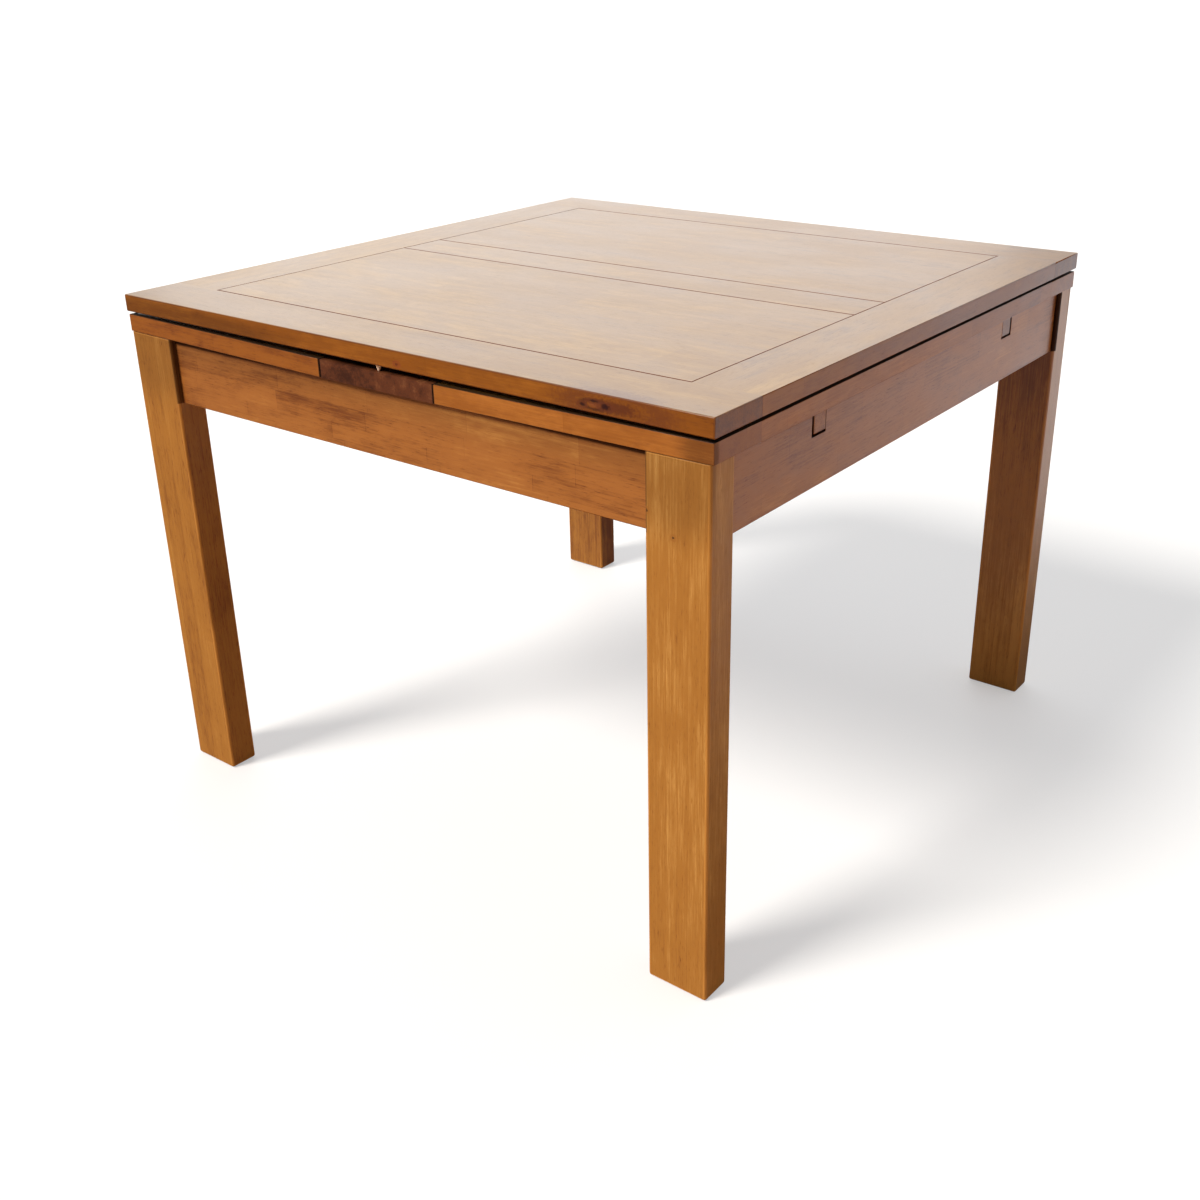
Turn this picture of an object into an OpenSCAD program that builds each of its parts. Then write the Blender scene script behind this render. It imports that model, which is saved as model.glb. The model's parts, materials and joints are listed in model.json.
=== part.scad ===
// Draw-leaf dining table: a loose framed top lies over two leaves, and each leaf
// slides out from under it on two lopers. Side A is the front (-Y), and the leaves
// draw out to the right (+X) and to the left (-X). The origin is on the floor, under
// the middle of the top.

/* [Top] */
// Length of the top, along the way the leaves draw out
top_length = 1000; // [900:10:1200]
// Width of the top, from front to back
top_width = 1000; // [900:10:1200]
// Height of the top's upper face above the floor
table_height = 750; // [700:5:780]
// Thickness of the top
top_thickness = 24; // [20:1:30]
// Width of the top's front and back stiles
top_stile_width = 91; // [80:1:110]
// Width of the top's left and right rails
top_rail_width = 91; // [80:1:110]
// Width of the rail along the middle of the top
mid_rail_width = 83; // [60:1:100]

/* [Leaves] */
// Thickness of a leaf
leaf_thickness = 24; // [20:1:30]
// Gap between a leaf's outer edge and the top above it
leaf_gap = 4.5; // [3:0.5:8]
// How much lower a leaf lies at its inner edge than at its outer edge
leaf_fall = 4; // [1:0.5:6]
// How far a leaf's outer edge stays behind the top's end
leaf_end_inset = 1.5; // [0.5:0.5:6]
// How far a leaf's side edges stay behind the top's sides
leaf_side_inset = 2; // [0.5:0.5:6]
// Width of a leaf's front and back stiles
leaf_stile_width = 91; // [80:1:110]
// Width of a leaf's outer and inner rails
leaf_rail_width = 91; // [80:1:110]

/* [Joinery of the frames] */
// Thickness of the tongues on the panels and rails
tongue_thickness = 8; // [6:0.5:9]
// Depth of the grooves that take the tongues
groove_depth = 10; // [8:0.5:14]
// Free space round a tongue in its groove
tongue_clearance = 0.15; // [0.1:0.05:0.3]
// Depth of the V cut where two boards meet
seam_depth = 1.4; // [0.8:0.1:2]
// Width of the chamfer along the outer arrises
arris = 1.5; // [0.5:0.1:2.5]

/* [Legs] */
// Width of a leg along the table's length
leg_length = 86; // [70:1:90]
// Width of a leg across the table
leg_width = 45; // [40:1:60]
// How far the legs stand behind the top's ends
leg_end_inset = 4; // [2:1:12]
// How far the legs stand behind the top's sides
leg_side_inset = 1; // [0.5:0.5:8]
// Width of the chamfer along a leg's arrises
leg_arris = 3.5; // [1:0.1:4]

/* [Aprons] */
// Thickness of the aprons
apron_thickness = 22; // [20:1:24]
// Height of the side aprons
apron_height = 90; // [80:1:110]
// How far the side aprons' outer faces stay behind the legs' outer faces
side_apron_recess = 9; // [6:0.5:12]
// How far the end aprons' outer faces stay behind the legs' outer faces
end_apron_recess = 6; // [4:0.5:12]

/* [Bearer and guide] */
// Width of the fixed bearer between the leaves
bearer_width = 200; // [180:5:240]
// How far the bearer's ends stay behind the leaves' side edges
bearer_end_inset = 0.5; // [0:0.5:4]
// Gap between the bearer and each leaf
bearer_side_gap = 1.2; // [0.3:0.1:2]
// Thickness of the guide board under the bearer
guide_thickness = 20; // [16:1:24]
// Height of the guide board
guide_height = 60; // [50:1:70]
// Radius of the pads that the top rests on
pad_radius = 4; // [3:0.5:8]
// Radius of a pad where it stands on the bearer
pad_foot_radius = 1.5; // [1:0.5:3]
// Distance from the bearer's end to the edge of the pad next to it
pad_end_inset = 1; // [0.5:0.5:12]
// How far the pads lie to the right of the table's middle
pad_shift = 4.5; // [0:0.5:8]
// Distance of the inner pads from the table's middle
pad_inner_y = 150; // [100:5:200]

/* [Lopers] */
// Width of a loper
loper_width = 27; // [24:0.5:30]
// Height of a loper under its leaf
loper_height = 28; // [24:0.5:30]
// Distance of the right leaf's lopers from the table's middle
right_loper_y = 266; // [262:1:300]
// Distance of the left leaf's lopers from the table's middle
left_loper_y = 226; // [200:1:228]
// How much lower a loper's free end lies than the part under the leaf
loper_relief = 1.5; // [1:0.1:3]
// Free space under a loper in its notch
notch_floor_gap = 3; // [1:0.5:4]
// Free space on the outer side of a loper in the end apron's notch
notch_side_gap = 4.5; // [2:0.5:6]
// Free space on the inner side of a loper in the end apron's notch
notch_inner_gap = 0.5; // [0.4:0.1:2]
// Free space beside a loper in the guide board's notch
guide_side_gap = 1; // [0.5:0.1:2]
// Length of a loper past its stop peg
loper_tail = 16; // [12:1:20]
// Radius of a stop peg
stop_radius = 4; // [3:0.5:5]
// How far a stop peg stands out on each side of its loper
stop_proud = 5; // [3:0.5:5.5]

/* [Pegs of the top] */
// Radius of the pegs under the top
peg_radius = 9; // [7:0.5:11]
// Distance of the pegs from the middle, along the table
peg_x = 60; // [50:1:70]
// Distance from a peg's axis to the inner face of the side apron
peg_apron_gap = 32; // [25:1:45]
// Depth of a peg's hole in the top
peg_hole_depth = 10; // [8:0.5:14]
// Length of a peg below the top
peg_drop = 52; // [48:1:60]
// Free space round a peg in the bearer's hole
peg_clearance = 0.75; // [0.4:0.05:1.5]

/* [Corner blocks and fasteners] */
// Height of a corner block
block_height = 62; // [55:1:70]
// Distance of the block's upper face below the side apron's upper edge
block_drop = 6; // [4:1:12]
// Length from the leg's inner corner to the block's slanted face, along the bolt
block_reach = 36; // [30:1:40]
// Width of a corner block's blunt ends
block_tip = 8; // [5:1:12]
// Wood left under a screw's head in a corner block
block_seat = 10; // [8:1:12]
// Radius of a hanger bolt
bolt_radius = 4; // [3:0.5:5]
// Length of a hanger bolt inside the leg
bolt_in_leg = 45; // [30:1:50]
// Length of a hanger bolt past the nut
bolt_past_nut = 6; // [3:1:10]
// Radius of a washer
washer_radius = 11; // [10:0.5:13]
// Thickness of a washer
washer_thickness = 1.6; // [1:0.2:3]
// Width of a nut across its corners, halved
nut_radius = 7.5; // [7:0.5:9]
// Height of a nut
nut_height = 6.5; // [5:0.5:8]
// Free space round a hanger bolt in the block
bolt_clearance = 0.5; // [0.3:0.1:1]
// Radius of a dowel
dowel_radius = 4; // [3:0.5:5]
// Length of a dowel
dowel_length = 40; // [30:1:44]
// Distance of the dowels from a joint's middle height
dowel_spread = 25; // [22:1:30]
// Radius of a screw's shank
screw_radius = 2; // [1.5:0.1:2.5]
// Radius of a screw's head
head_radius = 4; // [3.5:0.1:5]
// Height of a screw's head
head_height = 3; // [2:0.1:3.5]
// Length of a screw in the piece that it bites into
screw_bite = 14; // [10:1:16]
// Depth of a screw's counterbore in a loper
loper_counterbore = 8; // [6:1:10]
// Depth of a screw's counterbore in the bearer
bearer_counterbore = 5; // [4:0.5:8]

/* [Feet] */
// Radius of a glide under a leg
glide_radius = 11; // [8:0.5:14]
// Thickness of a glide
glide_thickness = 5; // [4:0.5:8]
// How far a glide stands out below the leg
glide_proud = 1; // [0.5:0.1:2]

/* [Hidden] */
$fn = 48;

// Gap between a moving piece and what it rests on or slides past
rest_gap = 0.3;
// Free space round a shank, peg or dowel in its hole
hole_slack = 0.1;
// Free space at the bottom of a blind hole or groove
end_slack = 0.5;
// How far a cut reaches past the face that it opens
overcut = 5;

top_under_z = table_height - top_thickness;
leaf_inner_x = bearer_width / 2;
leaf_length = top_length / 2 - leaf_end_inset - leaf_inner_x;
leaf_width = top_width - 2 * leaf_side_inset;
leaf_slope = asin(leaf_fall / leaf_length);
leaf_inner_z = top_under_z - leaf_gap - leaf_fall - leaf_thickness;
leaf_travel = top_length / 2 - leaf_inner_x;

leg_outer_x = top_length / 2 - leg_end_inset;
leg_outer_y = top_width / 2 - leg_side_inset;
leg_inner_x = leg_outer_x - leg_length;
leg_inner_y = leg_outer_y - leg_width;
apron_outer_x = leg_outer_x - end_apron_recess;
apron_outer_y = leg_outer_y - side_apron_recess;
apron_inner_x = apron_outer_x - apron_thickness;
apron_inner_y = apron_outer_y - apron_thickness;

// Height of the leaves' sloped underside above a place along the table
function leaf_under_z(x) = leaf_inner_z + (x - leaf_inner_x) * tan(leaf_slope);
leg_top_z = leaf_under_z(leg_inner_x) - rest_gap;
leg_outer_top_z = leaf_under_z(leg_outer_x) - rest_gap;
side_apron_top_z = leaf_inner_z - rest_gap;
end_apron_top_z = leaf_under_z(apron_inner_x) - rest_gap;
apron_bottom_z = side_apron_top_z - apron_height;

bearer_half_x = leaf_inner_x - bearer_side_gap;
bearer_half_y = leaf_width / 2 - bearer_end_inset;
bearer_top_z = side_apron_top_z + leaf_thickness;
pad_height = top_under_z - rest_gap - bearer_top_z;
pad_outer_y = bearer_half_y - pad_end_inset - pad_radius;
pad_places = [-pad_outer_y, -pad_inner_y, pad_inner_y, pad_outer_y];
bearer_screw_x = bearer_half_x * 0.7;

stop_x = -guide_thickness / 2 - stop_radius - rest_gap - leaf_travel;
loper_inner = stop_x - loper_tail - leaf_inner_x;
loper_outer = (apron_outer_x - leaf_inner_x) / cos(leaf_slope);
loper_screw_places = [
    leaf_rail_width / 2,
    leaf_length / 2,
    min(leaf_length - leaf_rail_width / 2, loper_outer - 3 * head_radius)
];

peg_y = apron_inner_y - peg_apron_gap;
peg_bottom_z = top_under_z - peg_drop;

block_top_z = side_apron_top_z - block_drop;
block_bottom_z = block_top_z - block_height;
bolt_z = (block_top_z + block_bottom_z) / 2;
bolt_end = block_reach + washer_thickness + nut_height + bolt_past_nut;
block_screw_spread = block_height / 2 - 3 * head_radius;

// Faces of the aprons as seen from a leg's inner corner
side_apron_v = leg_inner_y - apron_inner_y;
end_apron_u = leg_inner_x - apron_inner_x;
// Where the block's slanted face would meet both axes through that corner
block_slant = block_reach * sqrt(2);
block_end_u = block_slant - side_apron_v - block_tip;
block_end_v = block_slant - end_apron_u - block_tip;
block_screw_u = block_end_u * 0.65;
block_screw_v = block_end_v * 0.8;

top_colour = [0.82, 0.66, 0.47];
leaf_colour = [0.72, 0.47, 0.25];
apron_colour = [0.62, 0.37, 0.19];
leg_colour = [0.66, 0.42, 0.23];
bearer_colour = [0.42, 0.29, 0.19];
loper_colour = [0.50, 0.36, 0.25];
dowel_colour = [0.80, 0.68, 0.50];
zinc_colour = [0.70, 0.71, 0.72];
felt_colour = [0.78, 0.74, 0.66];
nylon_colour = [0.25, 0.20, 0.16];

// A plain board between two corners
module board(low, high) {
    translate(low)
        cube(high - low);
}

// A square bar lying on an edge, which cuts a V or a chamfer of the given depth
module edge_cutter(from, to, depth) {
    span = to - from;
    along = norm(span);
    side = depth * sqrt(2);
    turn = span[2] != 0 ? [0, 0, 45] : span[0] != 0 ? [45, 0, 0] : [0, 45, 0];
    size = span[2] != 0 ? [side, side, along]
        : span[0] != 0 ? [along, side, side]
        : [side, along, side];
    translate((from + to) / 2)
        rotate(turn)
            cube(size, center = true);
}

// Chamfers along the outer arrises of a slab centred on the Z axis
module slab_arrises(length, width, z_low, z_high) {
    x = length / 2;
    y = width / 2;
    for (z = [z_low, z_high]) {
        for (side = [-1, 1]) {
            edge_cutter([-x - overcut, side * y, z], [x + overcut, side * y, z], arris);
            edge_cutter([side * x, -y - overcut, z], [side * x, y + overcut, z], arris);
        }
    }
    for (sx = [-1, 1])
        for (sy = [-1, 1])
            edge_cutter([sx * x, sy * y, z_low - overcut], [sx * x, sy * y, z_high + overcut], arris);
}

// V cuts round the inside of a frame, on its upper face, each running into the next
module seam_cuts(inner_x, inner_y, z) {
    end_x = inner_x + seam_depth / 2;
    end_y = inner_y + seam_depth / 2;
    for (side = [-1, 1]) {
        edge_cutter([-end_x, side * inner_y, z], [end_x, side * inner_y, z], seam_depth);
        edge_cutter([side * inner_x, -end_y, z], [side * inner_x, end_y, z], seam_depth);
    }
}

// Middle height of a board's edge, where its tongues and grooves lie
function tongue_low(thickness) = (thickness - tongue_thickness) / 2;

// A stile along X with a groove in its inner edge, lying from y = 0 inwards to y = -width
module grooved_stile(length, width, thickness) {
    low = tongue_low(thickness);
    difference() {
        board([-length / 2, -width, 0], [length / 2, 0, thickness]);
        board([-length / 2 - overcut, -width - overcut, low],
              [length / 2 + overcut, -width + groove_depth, low + tongue_thickness]);
    }
}

// A rail along Y with a tongue on each end and a groove in its inner edge,
// lying from x = 0 inwards to x = -width
module grooved_rail(length, width, thickness) {
    low = tongue_low(thickness);
    reach = groove_depth - end_slack;
    difference() {
        union() {
            board([-width, -length / 2, 0], [0, length / 2, thickness]);
            board([-width, -length / 2 - reach, low + tongue_clearance],
                  [0, length / 2 + reach, low + tongue_thickness - tongue_clearance]);
        }
        board([-width - overcut, -length / 2 - groove_depth - overcut, low],
              [-width + groove_depth, length / 2 + groove_depth + overcut, low + tongue_thickness]);
    }
}

// A panel with a tongue all round
module tongued_panel(length, width, thickness) {
    low = tongue_low(thickness);
    reach = groove_depth - end_slack;
    union() {
        board([-length / 2, -width / 2, 0], [length / 2, width / 2, thickness]);
        board([-length / 2 - reach, -width / 2 - reach, low + tongue_clearance],
              [length / 2 + reach, width / 2 + reach, low + tongue_thickness - tongue_clearance]);
    }
}

// A pan-head screw along +Z: the head's underside is at z = 0, and the tip points up
module screw(length) {
    slot_depth = head_height / 2;
    slot_width = head_radius / 5;
    difference() {
        union() {
            translate([0, 0, -head_height])
                cylinder(r = head_radius, h = head_height);
            cylinder(r = screw_radius, h = length);
        }
        for (turn = [0, 90])
            rotate([0, 0, turn])
                board([-head_radius * 0.6, -slot_width / 2, -head_height - 1],
                      [head_radius * 0.6, slot_width / 2, -head_height + slot_depth]);
    }
}

// The hole for a screw, with a counterbore below z = 0
module screw_hole(length, counterbore) {
    translate([0, 0, -counterbore - overcut])
        cylinder(r = head_radius + 2 * hole_slack, h = counterbore + overcut);
    translate([0, 0, -1])
        cylinder(r = screw_radius + hole_slack, h = length + end_slack + 1);
}

// The table's four corners: children are drawn at the leg's inner corner at the front
// left, where +X and +Y point into the table
module at_corner(sx, sy) {
    mirror([sx > 0 ? 1 : 0, 0, 0])
        mirror([0, sy > 0 ? 1 : 0, 0])
            translate([-leg_inner_x, -leg_inner_y, 0])
                children();
}

module at_all_corners() {
    for (sx = [-1, 1])
        for (sy = [-1, 1])
            at_corner(sx, sy)
                children();
}

// Along the hanger bolt's axis: +Z of the children points from the leg into the table
module along_bolt() {
    translate([0, 0, bolt_z])
        rotate([0, 0, 45])
            rotate([0, 90, 0])
                children();
}

// Dowels between a leg and its two aprons, fattened by slack for their holes
module corner_dowels(slack) {
    side_y = leg_inner_y - (apron_inner_y + apron_outer_y) / 2;
    end_x = leg_inner_x - (apron_inner_x + apron_outer_x) / 2;
    half = dowel_length / 2 + (slack > 0 ? end_slack : 0);
    for (dz = [-dowel_spread, dowel_spread]) {
        translate([-half, side_y, bolt_z + dz])
            rotate([0, 90, 0])
                cylinder(r = dowel_radius + slack, h = 2 * half);
        translate([end_x, half, bolt_z + dz])
            rotate([90, 0, 0])
                cylinder(r = dowel_radius + slack, h = 2 * half);
    }
}

// Dowels between the guide board's ends and the side aprons
module guide_dowels(slack) {
    half = apron_thickness / 2 + (slack > 0 ? end_slack : 0);
    z_mid = side_apron_top_z - guide_height / 2;
    for (side = [-1, 1])
        for (dz = [-guide_height / 4, guide_height / 4])
            translate([0, side * apron_inner_y + half, z_mid + dz])
                rotate([90, 0, 0])
                    cylinder(r = dowel_radius + slack, h = 2 * half);
}

// Screws from a corner block into its two aprons
module at_block_screws() {
    for (dz = [-block_screw_spread, block_screw_spread]) {
        translate([block_screw_u, side_apron_v + block_seat, bolt_z + dz])
            rotate([90, 0, 0])
                children();
        translate([end_apron_u + block_seat, block_screw_v, bolt_z + dz])
            rotate([0, -90, 0])
                children();
    }
}

// A leg, whose top slopes as the leaf above it does
module leg(sx, sy) {
    outline = [
        [-leg_length, glide_proud],
        [0, glide_proud],
        [0, leg_top_z],
        [-leg_length, leg_outer_top_z]
    ];
    color(leg_colour)
        at_corner(sx, sy)
            difference() {
                rotate([90, 0, 0])
                    linear_extrude(leg_width)
                        polygon(outline);
                for (x = [-leg_length, 0])
                    for (y = [-leg_width, 0])
                        edge_cutter([x, y, 0], [x, y, table_height], leg_arris);
                for (y = [-leg_width, 0])
                    edge_cutter([-leg_length - overcut, y, glide_proud], [overcut, y, glide_proud], arris);
                for (x = [-leg_length, 0])
                    edge_cutter([x, -leg_width - overcut, glide_proud], [x, overcut, glide_proud], arris);
                corner_dowels(hole_slack);
                along_bolt()
                    translate([0, 0, -bolt_in_leg - end_slack])
                        cylinder(r = bolt_radius + hole_slack, h = bolt_in_leg + overcut);
                translate([-leg_length / 2, -leg_width / 2, -overcut])
                    cylinder(r = glide_radius + hole_slack, h = glide_thickness + overcut);
            }
}

module foot_glides() {
    color(nylon_colour)
        at_all_corners()
            translate([-leg_length / 2, -leg_width / 2, 0])
                cylinder(r = glide_radius, h = glide_thickness);
}

module side_apron(sy) {
    color(apron_colour)
        difference() {
            mirror([0, sy > 0 ? 1 : 0, 0])
                board([-leg_inner_x, -apron_outer_y, apron_bottom_z],
                      [leg_inner_x, -apron_inner_y, side_apron_top_z]);
            at_all_corners()
                corner_dowels(hole_slack);
            guide_dowels(hole_slack);
            at_all_corners()
                at_block_screws()
                    screw_hole(block_seat + screw_bite, 0);
            at_bearer_screws()
                screw_hole(leaf_thickness - bearer_counterbore + screw_bite, bearer_counterbore);
        }
}

module end_apron(sx) {
    color(apron_colour)
        difference() {
            mirror([sx < 0 ? 1 : 0, 0, 0])
                board([apron_inner_x, -leg_inner_y, apron_bottom_z],
                      [apron_outer_x, leg_inner_y, end_apron_top_z]);
            at_all_corners()
                corner_dowels(hole_slack);
            at_all_corners()
                at_block_screws()
                    screw_hole(block_seat + screw_bite, 0);
            on_leaf(sx)
                loper_notches(sx > 0 ? right_loper_y : left_loper_y, notch_inner_gap, notch_side_gap,
                              apron_inner_x - leaf_inner_x - overcut, apron_outer_x - leaf_inner_x + overcut);
        }
}

module centre_bearer() {
    color(bearer_colour)
        difference() {
            board([-bearer_half_x, -bearer_half_y, side_apron_top_z],
                  [bearer_half_x, bearer_half_y, bearer_top_z]);
            at_pegs()
                cylinder(r = peg_radius + peg_clearance, h = table_height);
            at_bearer_screws()
                screw_hole(leaf_thickness, bearer_counterbore);
        }
}

// Screws down through the bearer into the side aprons' upper edges
module at_bearer_screws() {
    for (x = [-bearer_screw_x, bearer_screw_x])
        for (y = [-1, 1])
            translate([x, y * (apron_inner_y + apron_outer_y) / 2, bearer_top_z - bearer_counterbore])
                rotate([180, 0, 0])
                    children();
}

module bearer_screws() {
    color(zinc_colour)
        at_bearer_screws()
            screw(leaf_thickness - bearer_counterbore + screw_bite);
}

module rest_pads() {
    color(felt_colour)
        for (y = pad_places)
            translate([pad_shift, y, bearer_top_z])
                cylinder(r1 = pad_foot_radius, r2 = pad_radius, h = pad_height);
}

module loper_guide() {
    color(bearer_colour)
        difference() {
            board([-guide_thickness / 2, -apron_inner_y, side_apron_top_z - guide_height],
                  [guide_thickness / 2, apron_inner_y, side_apron_top_z]);
            for (side = [-1, 1])
                on_leaf(side)
                    loper_notches(side > 0 ? right_loper_y : left_loper_y, guide_side_gap, guide_side_gap,
                                  -leaf_inner_x - guide_thickness, -leaf_inner_x + guide_thickness);
            guide_dowels(hole_slack);
        }
}

module corner_block(sx, sy) {
    outline = [
        [block_end_u, side_apron_v],
        [0, side_apron_v],
        [0, 0],
        [end_apron_u, 0],
        [end_apron_u, block_end_v],
        [end_apron_u + block_tip, block_end_v],
        [block_end_u, side_apron_v + block_tip]
    ];
    color(bearer_colour)
        at_corner(sx, sy)
            difference() {
                translate([0, 0, block_bottom_z])
                    linear_extrude(block_height)
                        polygon(outline);
                along_bolt()
                    translate([0, 0, -overcut])
                        cylinder(r = bolt_radius + bolt_clearance, h = block_reach + 2 * overcut);
                at_block_screws()
                    screw_hole(block_seat + overcut, block_slant);
            }
}

module hanger_bolts() {
    color(zinc_colour)
        at_all_corners()
            along_bolt()
                translate([0, 0, -bolt_in_leg])
                    cylinder(r = bolt_radius, h = bolt_in_leg + bolt_end);
}

module hanger_washers() {
    color(zinc_colour)
        at_all_corners()
            along_bolt()
                translate([0, 0, block_reach])
                    difference() {
                        cylinder(r = washer_radius, h = washer_thickness);
                        translate([0, 0, -1])
                            cylinder(r = bolt_radius + hole_slack, h = washer_thickness + 2);
                    }
}

module hanger_nuts() {
    color(zinc_colour)
        at_all_corners()
            along_bolt()
                translate([0, 0, block_reach + washer_thickness])
                    difference() {
                        cylinder(r = nut_radius, h = nut_height, $fn = 6);
                        translate([0, 0, -1])
                            cylinder(r = bolt_radius + hole_slack, h = nut_height + 2);
                    }
}

module block_screws() {
    color(zinc_colour)
        at_all_corners()
            at_block_screws()
                screw(block_seat + screw_bite);
}

module frame_dowels() {
    color(dowel_colour) {
        at_all_corners()
            corner_dowels(0);
        guide_dowels(0);
    }
}

// A leaf's own frame: X runs outwards along its sloped underside from its inner edge
module on_leaf(side) {
    mirror([side < 0 ? 1 : 0, 0, 0])
        translate([leaf_inner_x, 0, leaf_inner_z])
            rotate([0, -leaf_slope, 0])
                children();
}

// The space that a leaf's two lopers slide through
module loper_notches(y, inner_gap, outer_gap, x_low, x_high) {
    for (side = [0, 1])
        mirror([0, side, 0])
            board([x_low, y - loper_width / 2 - inner_gap, -loper_height - notch_floor_gap],
                  [x_high, y + loper_width / 2 + outer_gap, 2 * overcut]);
}

// Cuts that all the boards of a leaf share, about the leaf's middle
module leaf_cuts() {
    slab_arrises(leaf_length, leaf_width, 0, leaf_thickness);
    seam_cuts(leaf_length / 2 - leaf_rail_width, leaf_width / 2 - leaf_stile_width, leaf_thickness);
}

module leaf_board(side) {
    color(leaf_colour)
        on_leaf(side)
            difference() {
                translate([leaf_length / 2, 0, 0])
                    difference() {
                        children();
                        leaf_cuts();
                    }
                at_loper_screws(side)
                    screw_hole(loper_height - loper_counterbore + screw_bite, 0);
            }
}

// front_or_back is -1 for the front stile and 1 for the back stile
module leaf_stile(side, front_or_back) {
    leaf_board(side)
        mirror([0, front_or_back < 0 ? 1 : 0, 0])
            translate([0, leaf_width / 2, 0])
                grooved_stile(leaf_length, leaf_stile_width, leaf_thickness);
}

// in_or_out is -1 for the inner rail and 1 for the outer rail
module leaf_rail(side, in_or_out) {
    leaf_board(side)
        mirror([in_or_out < 0 ? 1 : 0, 0, 0])
            translate([leaf_length / 2, 0, 0])
                grooved_rail(leaf_width - 2 * leaf_stile_width, leaf_rail_width, leaf_thickness);
}

module leaf_panel(side) {
    leaf_board(side)
        tongued_panel(leaf_length - 2 * leaf_rail_width, leaf_width - 2 * leaf_stile_width, leaf_thickness);
}

// Screws up through the lopers into the leaf, in the leaf's own frame
module at_loper_screws(side) {
    for (x = loper_screw_places)
        for (front_or_back = [-1, 1])
            translate([x, front_or_back * (side > 0 ? right_loper_y : left_loper_y),
                       -loper_height + loper_counterbore])
                children();
}

module loper_screws(side) {
    color(zinc_colour)
        on_leaf(side)
            at_loper_screws(side)
                screw(loper_height - loper_counterbore + screw_bite);
}

// A stop peg lies across a loper near its free end
module stop_peg(y, radius, length) {
    translate([stop_x - leaf_inner_x, y + length / 2, -loper_height / 2])
        rotate([90, 0, 0])
            cylinder(r = radius, h = length);
}

module loper(side, front_or_back) {
    y = front_or_back * (side > 0 ? right_loper_y : left_loper_y);
    color(loper_colour)
        on_leaf(side)
            difference() {
                union() {
                    board([0, y - loper_width / 2, -loper_height],
                          [loper_outer, y + loper_width / 2, 0]);
                    board([loper_inner, y - loper_width / 2, -loper_height],
                          [overcut, y + loper_width / 2, -loper_relief]);
                }
                stop_peg(y, stop_radius + hole_slack, loper_width + 2 * overcut);
                at_loper_screws(side)
                    screw_hole(loper_height, loper_counterbore);
            }
}

module loper_stops(side) {
    color(dowel_colour)
        on_leaf(side)
            for (front_or_back = [-1, 1])
                stop_peg(front_or_back * (side > 0 ? right_loper_y : left_loper_y),
                         stop_radius, loper_width + 2 * stop_proud);
}

// Places of the pegs that locate the loose top, at the floor
module at_pegs() {
    for (x = [-peg_x, peg_x])
        for (y = [-peg_y, peg_y])
            translate([x, y, 0])
                children();
}

module top_pegs() {
    color(dowel_colour)
        at_pegs()
            translate([0, 0, peg_bottom_z])
                cylinder(r = peg_radius, h = peg_drop + peg_hole_depth - end_slack);
}

// Cuts that all the boards of the top share, at the top's underside
module top_cuts() {
    inner_x = top_length / 2 - top_rail_width;
    end_x = inner_x + seam_depth / 2;
    slab_arrises(top_length, top_width, 0, top_thickness);
    seam_cuts(inner_x, top_width / 2 - top_stile_width, top_thickness);
    for (side = [-1, 1])
        edge_cutter([-end_x, side * mid_rail_width / 2, top_thickness],
                    [end_x, side * mid_rail_width / 2, top_thickness], seam_depth);
}

module top_board() {
    color(top_colour)
        difference() {
            translate([0, 0, top_under_z])
                difference() {
                    children();
                    top_cuts();
                }
            at_pegs()
                translate([0, 0, peg_bottom_z])
                    cylinder(r = peg_radius + hole_slack, h = peg_drop + peg_hole_depth);
        }
}

module top_stile(front_or_back) {
    top_board()
        mirror([0, front_or_back < 0 ? 1 : 0, 0])
            translate([0, top_width / 2, 0])
                grooved_stile(top_length, top_stile_width, top_thickness);
}

module top_rail(left_or_right) {
    top_board()
        mirror([left_or_right < 0 ? 1 : 0, 0, 0])
            translate([top_length / 2, 0, 0])
                grooved_rail(top_width - 2 * top_stile_width, top_rail_width, top_thickness);
}

// The mid rail has a tongue on each end and a groove along each side
module top_mid_rail() {
    half_x = top_length / 2 - top_rail_width;
    half_y = mid_rail_width / 2;
    low = tongue_low(top_thickness);
    reach = groove_depth - end_slack;
    top_board()
        difference() {
            union() {
                board([-half_x, -half_y, 0], [half_x, half_y, top_thickness]);
                board([-half_x - reach, -half_y, low + tongue_clearance],
                      [half_x + reach, half_y, low + tongue_thickness - tongue_clearance]);
            }
            for (side = [-1, 1])
                translate([0, side * half_y, low])
                    board([-top_length / 2, -groove_depth, 0], [top_length / 2, groove_depth, tongue_thickness]);
        }
}

module top_panel(front_or_back) {
    inner_y = top_width / 2 - top_stile_width;
    panel_width = inner_y - mid_rail_width / 2;
    top_board()
        translate([0, front_or_back * (inner_y - panel_width / 2), 0])
            tongued_panel(top_length - 2 * top_rail_width, panel_width, top_thickness);
}

leg(-1, -1);  // leg_front_left
leg(1, -1);  // leg_front_right
leg(-1, 1);  // leg_back_left
leg(1, 1);  // leg_back_right
side_apron(-1);  // apron_front
side_apron(1);  // apron_back
end_apron(-1);  // apron_left
end_apron(1);  // apron_right
centre_bearer();
loper_guide();
corner_block(-1, -1);  // corner_block_front_left
corner_block(1, -1);  // corner_block_front_right
corner_block(-1, 1);  // corner_block_back_left
corner_block(1, 1);  // corner_block_back_right
hanger_bolts();
hanger_washers();
hanger_nuts();
block_screws();
bearer_screws();
frame_dowels();
rest_pads();
foot_glides();
leaf_stile(1, -1);  // leaf_right_stile_front
leaf_stile(1, 1);  // leaf_right_stile_back
leaf_rail(1, 1);  // leaf_right_rail_outer
leaf_rail(1, -1);  // leaf_right_rail_inner
leaf_panel(1);  // leaf_right_panel
loper(1, -1);  // loper_right_front
loper(1, 1);  // loper_right_back
loper_screws(1);  // loper_right_screws
loper_stops(1);  // loper_right_stops
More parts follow.
